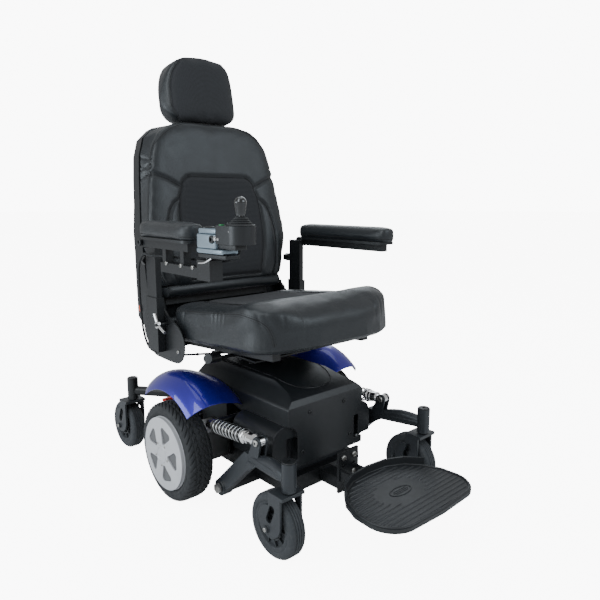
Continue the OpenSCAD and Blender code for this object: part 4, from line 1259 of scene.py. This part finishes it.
def build_footplate():
    skin("footplate", "tread", "tread_plastic", radius=2.0)
    parts = []
    for a, b, y in ridge_runs(foot_outline(9)):
        ends = [(a, 0.3), (a + 4, 1.8), (b - 4, 1.8), (b, 0.3)]
        ridge = [mm(PLATE_X + x, AXLE_Y + y + dy, PLATE_TOP + dz) for x, top in ends
                 for dy, dz in ((-3.2, -0.5), (-1.8, top), (1.8, top), (3.2, -0.5))]
        parts.append((ridge, grid(4, 4, ring_of_columns=False) + end_faces(4, 4)))
    look = ("tread", "footplate", "tread_plastic")
    new_piece("tread_ridges", *merged(parts), *look)
    rim = [mm(PLATE_X + x, AXLE_Y + y, PLATE_TOP + 0.5) for x, y in foot_outline(4)]
    new_piece("tread_rim", *tube(rim, 3.2, 10, closed=True), *look, 60)
    # A plain oval boss with three bars in the middle
    boss = mm(6, AXLE_Y - 522, PLATE_TOP)
    oval = [boss + mm(33 * math.cos(a), 15 * math.sin(a), 0.4) for a in turn(48)]
    bars = [tube([boss + mm(x, y, 0.2) for x in (-w, w)], 1.1, 8)
            for y, w in ((-5, 20), (0, 24), (5, 20))]
    new_piece("tread_oval", *merged([tube(oval, 1.3, 8, closed=True)] + bars), *look, 60)


# ---------------- cable

def build_cable():
    route = [(-247, -276, 692), (-247, -274, 676), (-247, -254, 650), (-249, -210, 640),
             (-252, -120, 636), (-254, 0, 634), (-263, 50, 634), (-275, 84, 634),
             (-274, 124, 634), (-270, 160, 600), (-268, 168, 540), (-266, 168, 470),
             (-262, 164, 410), (-250, 154, 368), (-226, 126, 356), (-180, 92, 351),
             (-120, 60, 350), (-78, 34, 350), (-48, 8, 350)]
    steps, radius = 8, 3
    points = spline([mm(x, y + AXLE_Y, z) for x, y, z in route], steps)
    corner = 9 * steps      # where it turns down behind the arm post
    bends = (("cable_front", points[:corner + 1], "arm_post_right", "armrest_right", corner - 6, corner - 30),
             ("cable_rear", points[corner:], "seat", "arm_post_right", 14 * steps, 10 * steps))
    for name, stretch, low_body, high_body, start, end in bends:
        piece = new_piece(name, *tube(stretch, radius, 12), "soft_rubber", None, "stick_black", 60)
        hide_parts("joystick_cable")
        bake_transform(piece)
    band = [(3.2, -3), (4.4, -2.4), (4.4, 2.4), (3.2, 3)]
    for name, i, body in (("front", 26, "armrest_right"), ("middle", 44, "armrest_right"),
                          ("rear", 124, "seat")):
        tie = lathe(band, points[i], points[i + 1] - points[i], 24)
        new_piece("cable_tie_" + name, *tie, "soft_plastic", body, "stick_black", 40)


# ---------------- studio

def area_light(name, place, target, size, power, colour):
    light = add_object(name, bpy.data.lights.new(name, "AREA"))
    light.location = place
    light.rotation_euler = (Vector(target) - Vector(place)).to_track_quat("-Z", "Y").to_euler()
    light.data.shape = "RECTANGLE"
    light.data.size, light.data.size_y = size
    light.data.energy = power
    light.data.color = colour


def build_camera():
    camera = add_object("camera", bpy.data.cameras.new("camera"))
    camera.location = (-0.9641, -1.1744, 0.7749)
    camera.rotation_euler = (math.radians(80.02), 0, math.radians(-41.86))
    camera.data.lens = 34.18
    camera.data.sensor_width = 36
    bpy.context.scene.camera = camera


def build_backdrop():
    """The backdrop looks bright, but lights the object more softly."""
    on_object, in_view = 0.5, 9.6
    world = bpy.data.worlds.new("studio")
    world.use_nodes = True
    nodes, links = world.node_tree.nodes, world.node_tree.links
    background = nodes["Background"]
    background.inputs["Color"].default_value = (0.99, 0.995, 1.0, 1)
    seen = nodes.new("ShaderNodeLightPath").outputs["Is Camera Ray"]
    strength = nodes.new("ShaderNodeMapRange")
    strength.inputs["To Min"].default_value = on_object
    strength.inputs["To Max"].default_value = in_view
    links.new(seen, strength.inputs["Value"])
    links.new(strength.outputs["Result"], background.inputs["Strength"])
    bpy.context.scene.world = world


def build_floor():
    """A pale disc that looks as bright as the backdrop."""
    radius, in_view = 40, 8.6      # metres, and the glow towards the camera
    ring = [(radius * math.cos(a), radius * math.sin(a), 0) for a in turn(64)]
    floor = add_object("floor", new_mesh("floor", ring, [tuple(range(len(ring)))]))
    k = Look("pale_floor", 0.7)
    k.finish(k.mix(k.noise(400, 3), (0.80, 0.80, 0.805), (0.83, 0.83, 0.835)))
    k.b.inputs["Emission Color"].default_value = (1, 1, 1, 1)
    glow = k.spread(k.add("ShaderNodeLightPath").outputs["Is Camera Ray"], 0, 1, 0, in_view)
    k.put(glow, k.b.inputs["Emission Strength"])
    floor.data.materials.append(k.m)


def build_studio():
    build_camera()
    build_backdrop()
    build_floor()
    area_light("key_light", (-2.6, -0.9, 2.6), (0, 0, 0.6), (1.6, 2.2), 50, (0.88, 0.95, 1.0))
    area_light("side_light", (-3.0, 1.2, 0.9), (0, 0, 0.5), (2.0, 1.4), 45, (0.84, 0.93, 1.0))
    area_light("fill_light", (1.4, -3.2, 2.4), (0, 0, 0.4), (2.6, 1.8), 48, (0.80, 0.91, 1.0))
    area_light("top_light", (0.2, 0.4, 3.2), (0, 0, 0.4), (2.4, 2.4), 20, (0.88, 0.95, 1.0))
    area_light("rear_light", (2.2, 2.4, 2.0), (0, 0, 0.5), (2.0, 2.0), 26, (0.86, 0.94, 1.0))


build_studio()
build_base()
build_wheels()
build_casters()
build_suspension()
build_seat()
build_back()
build_headrest()
build_arms()
build_joystick()
build_footplate()
build_cable()
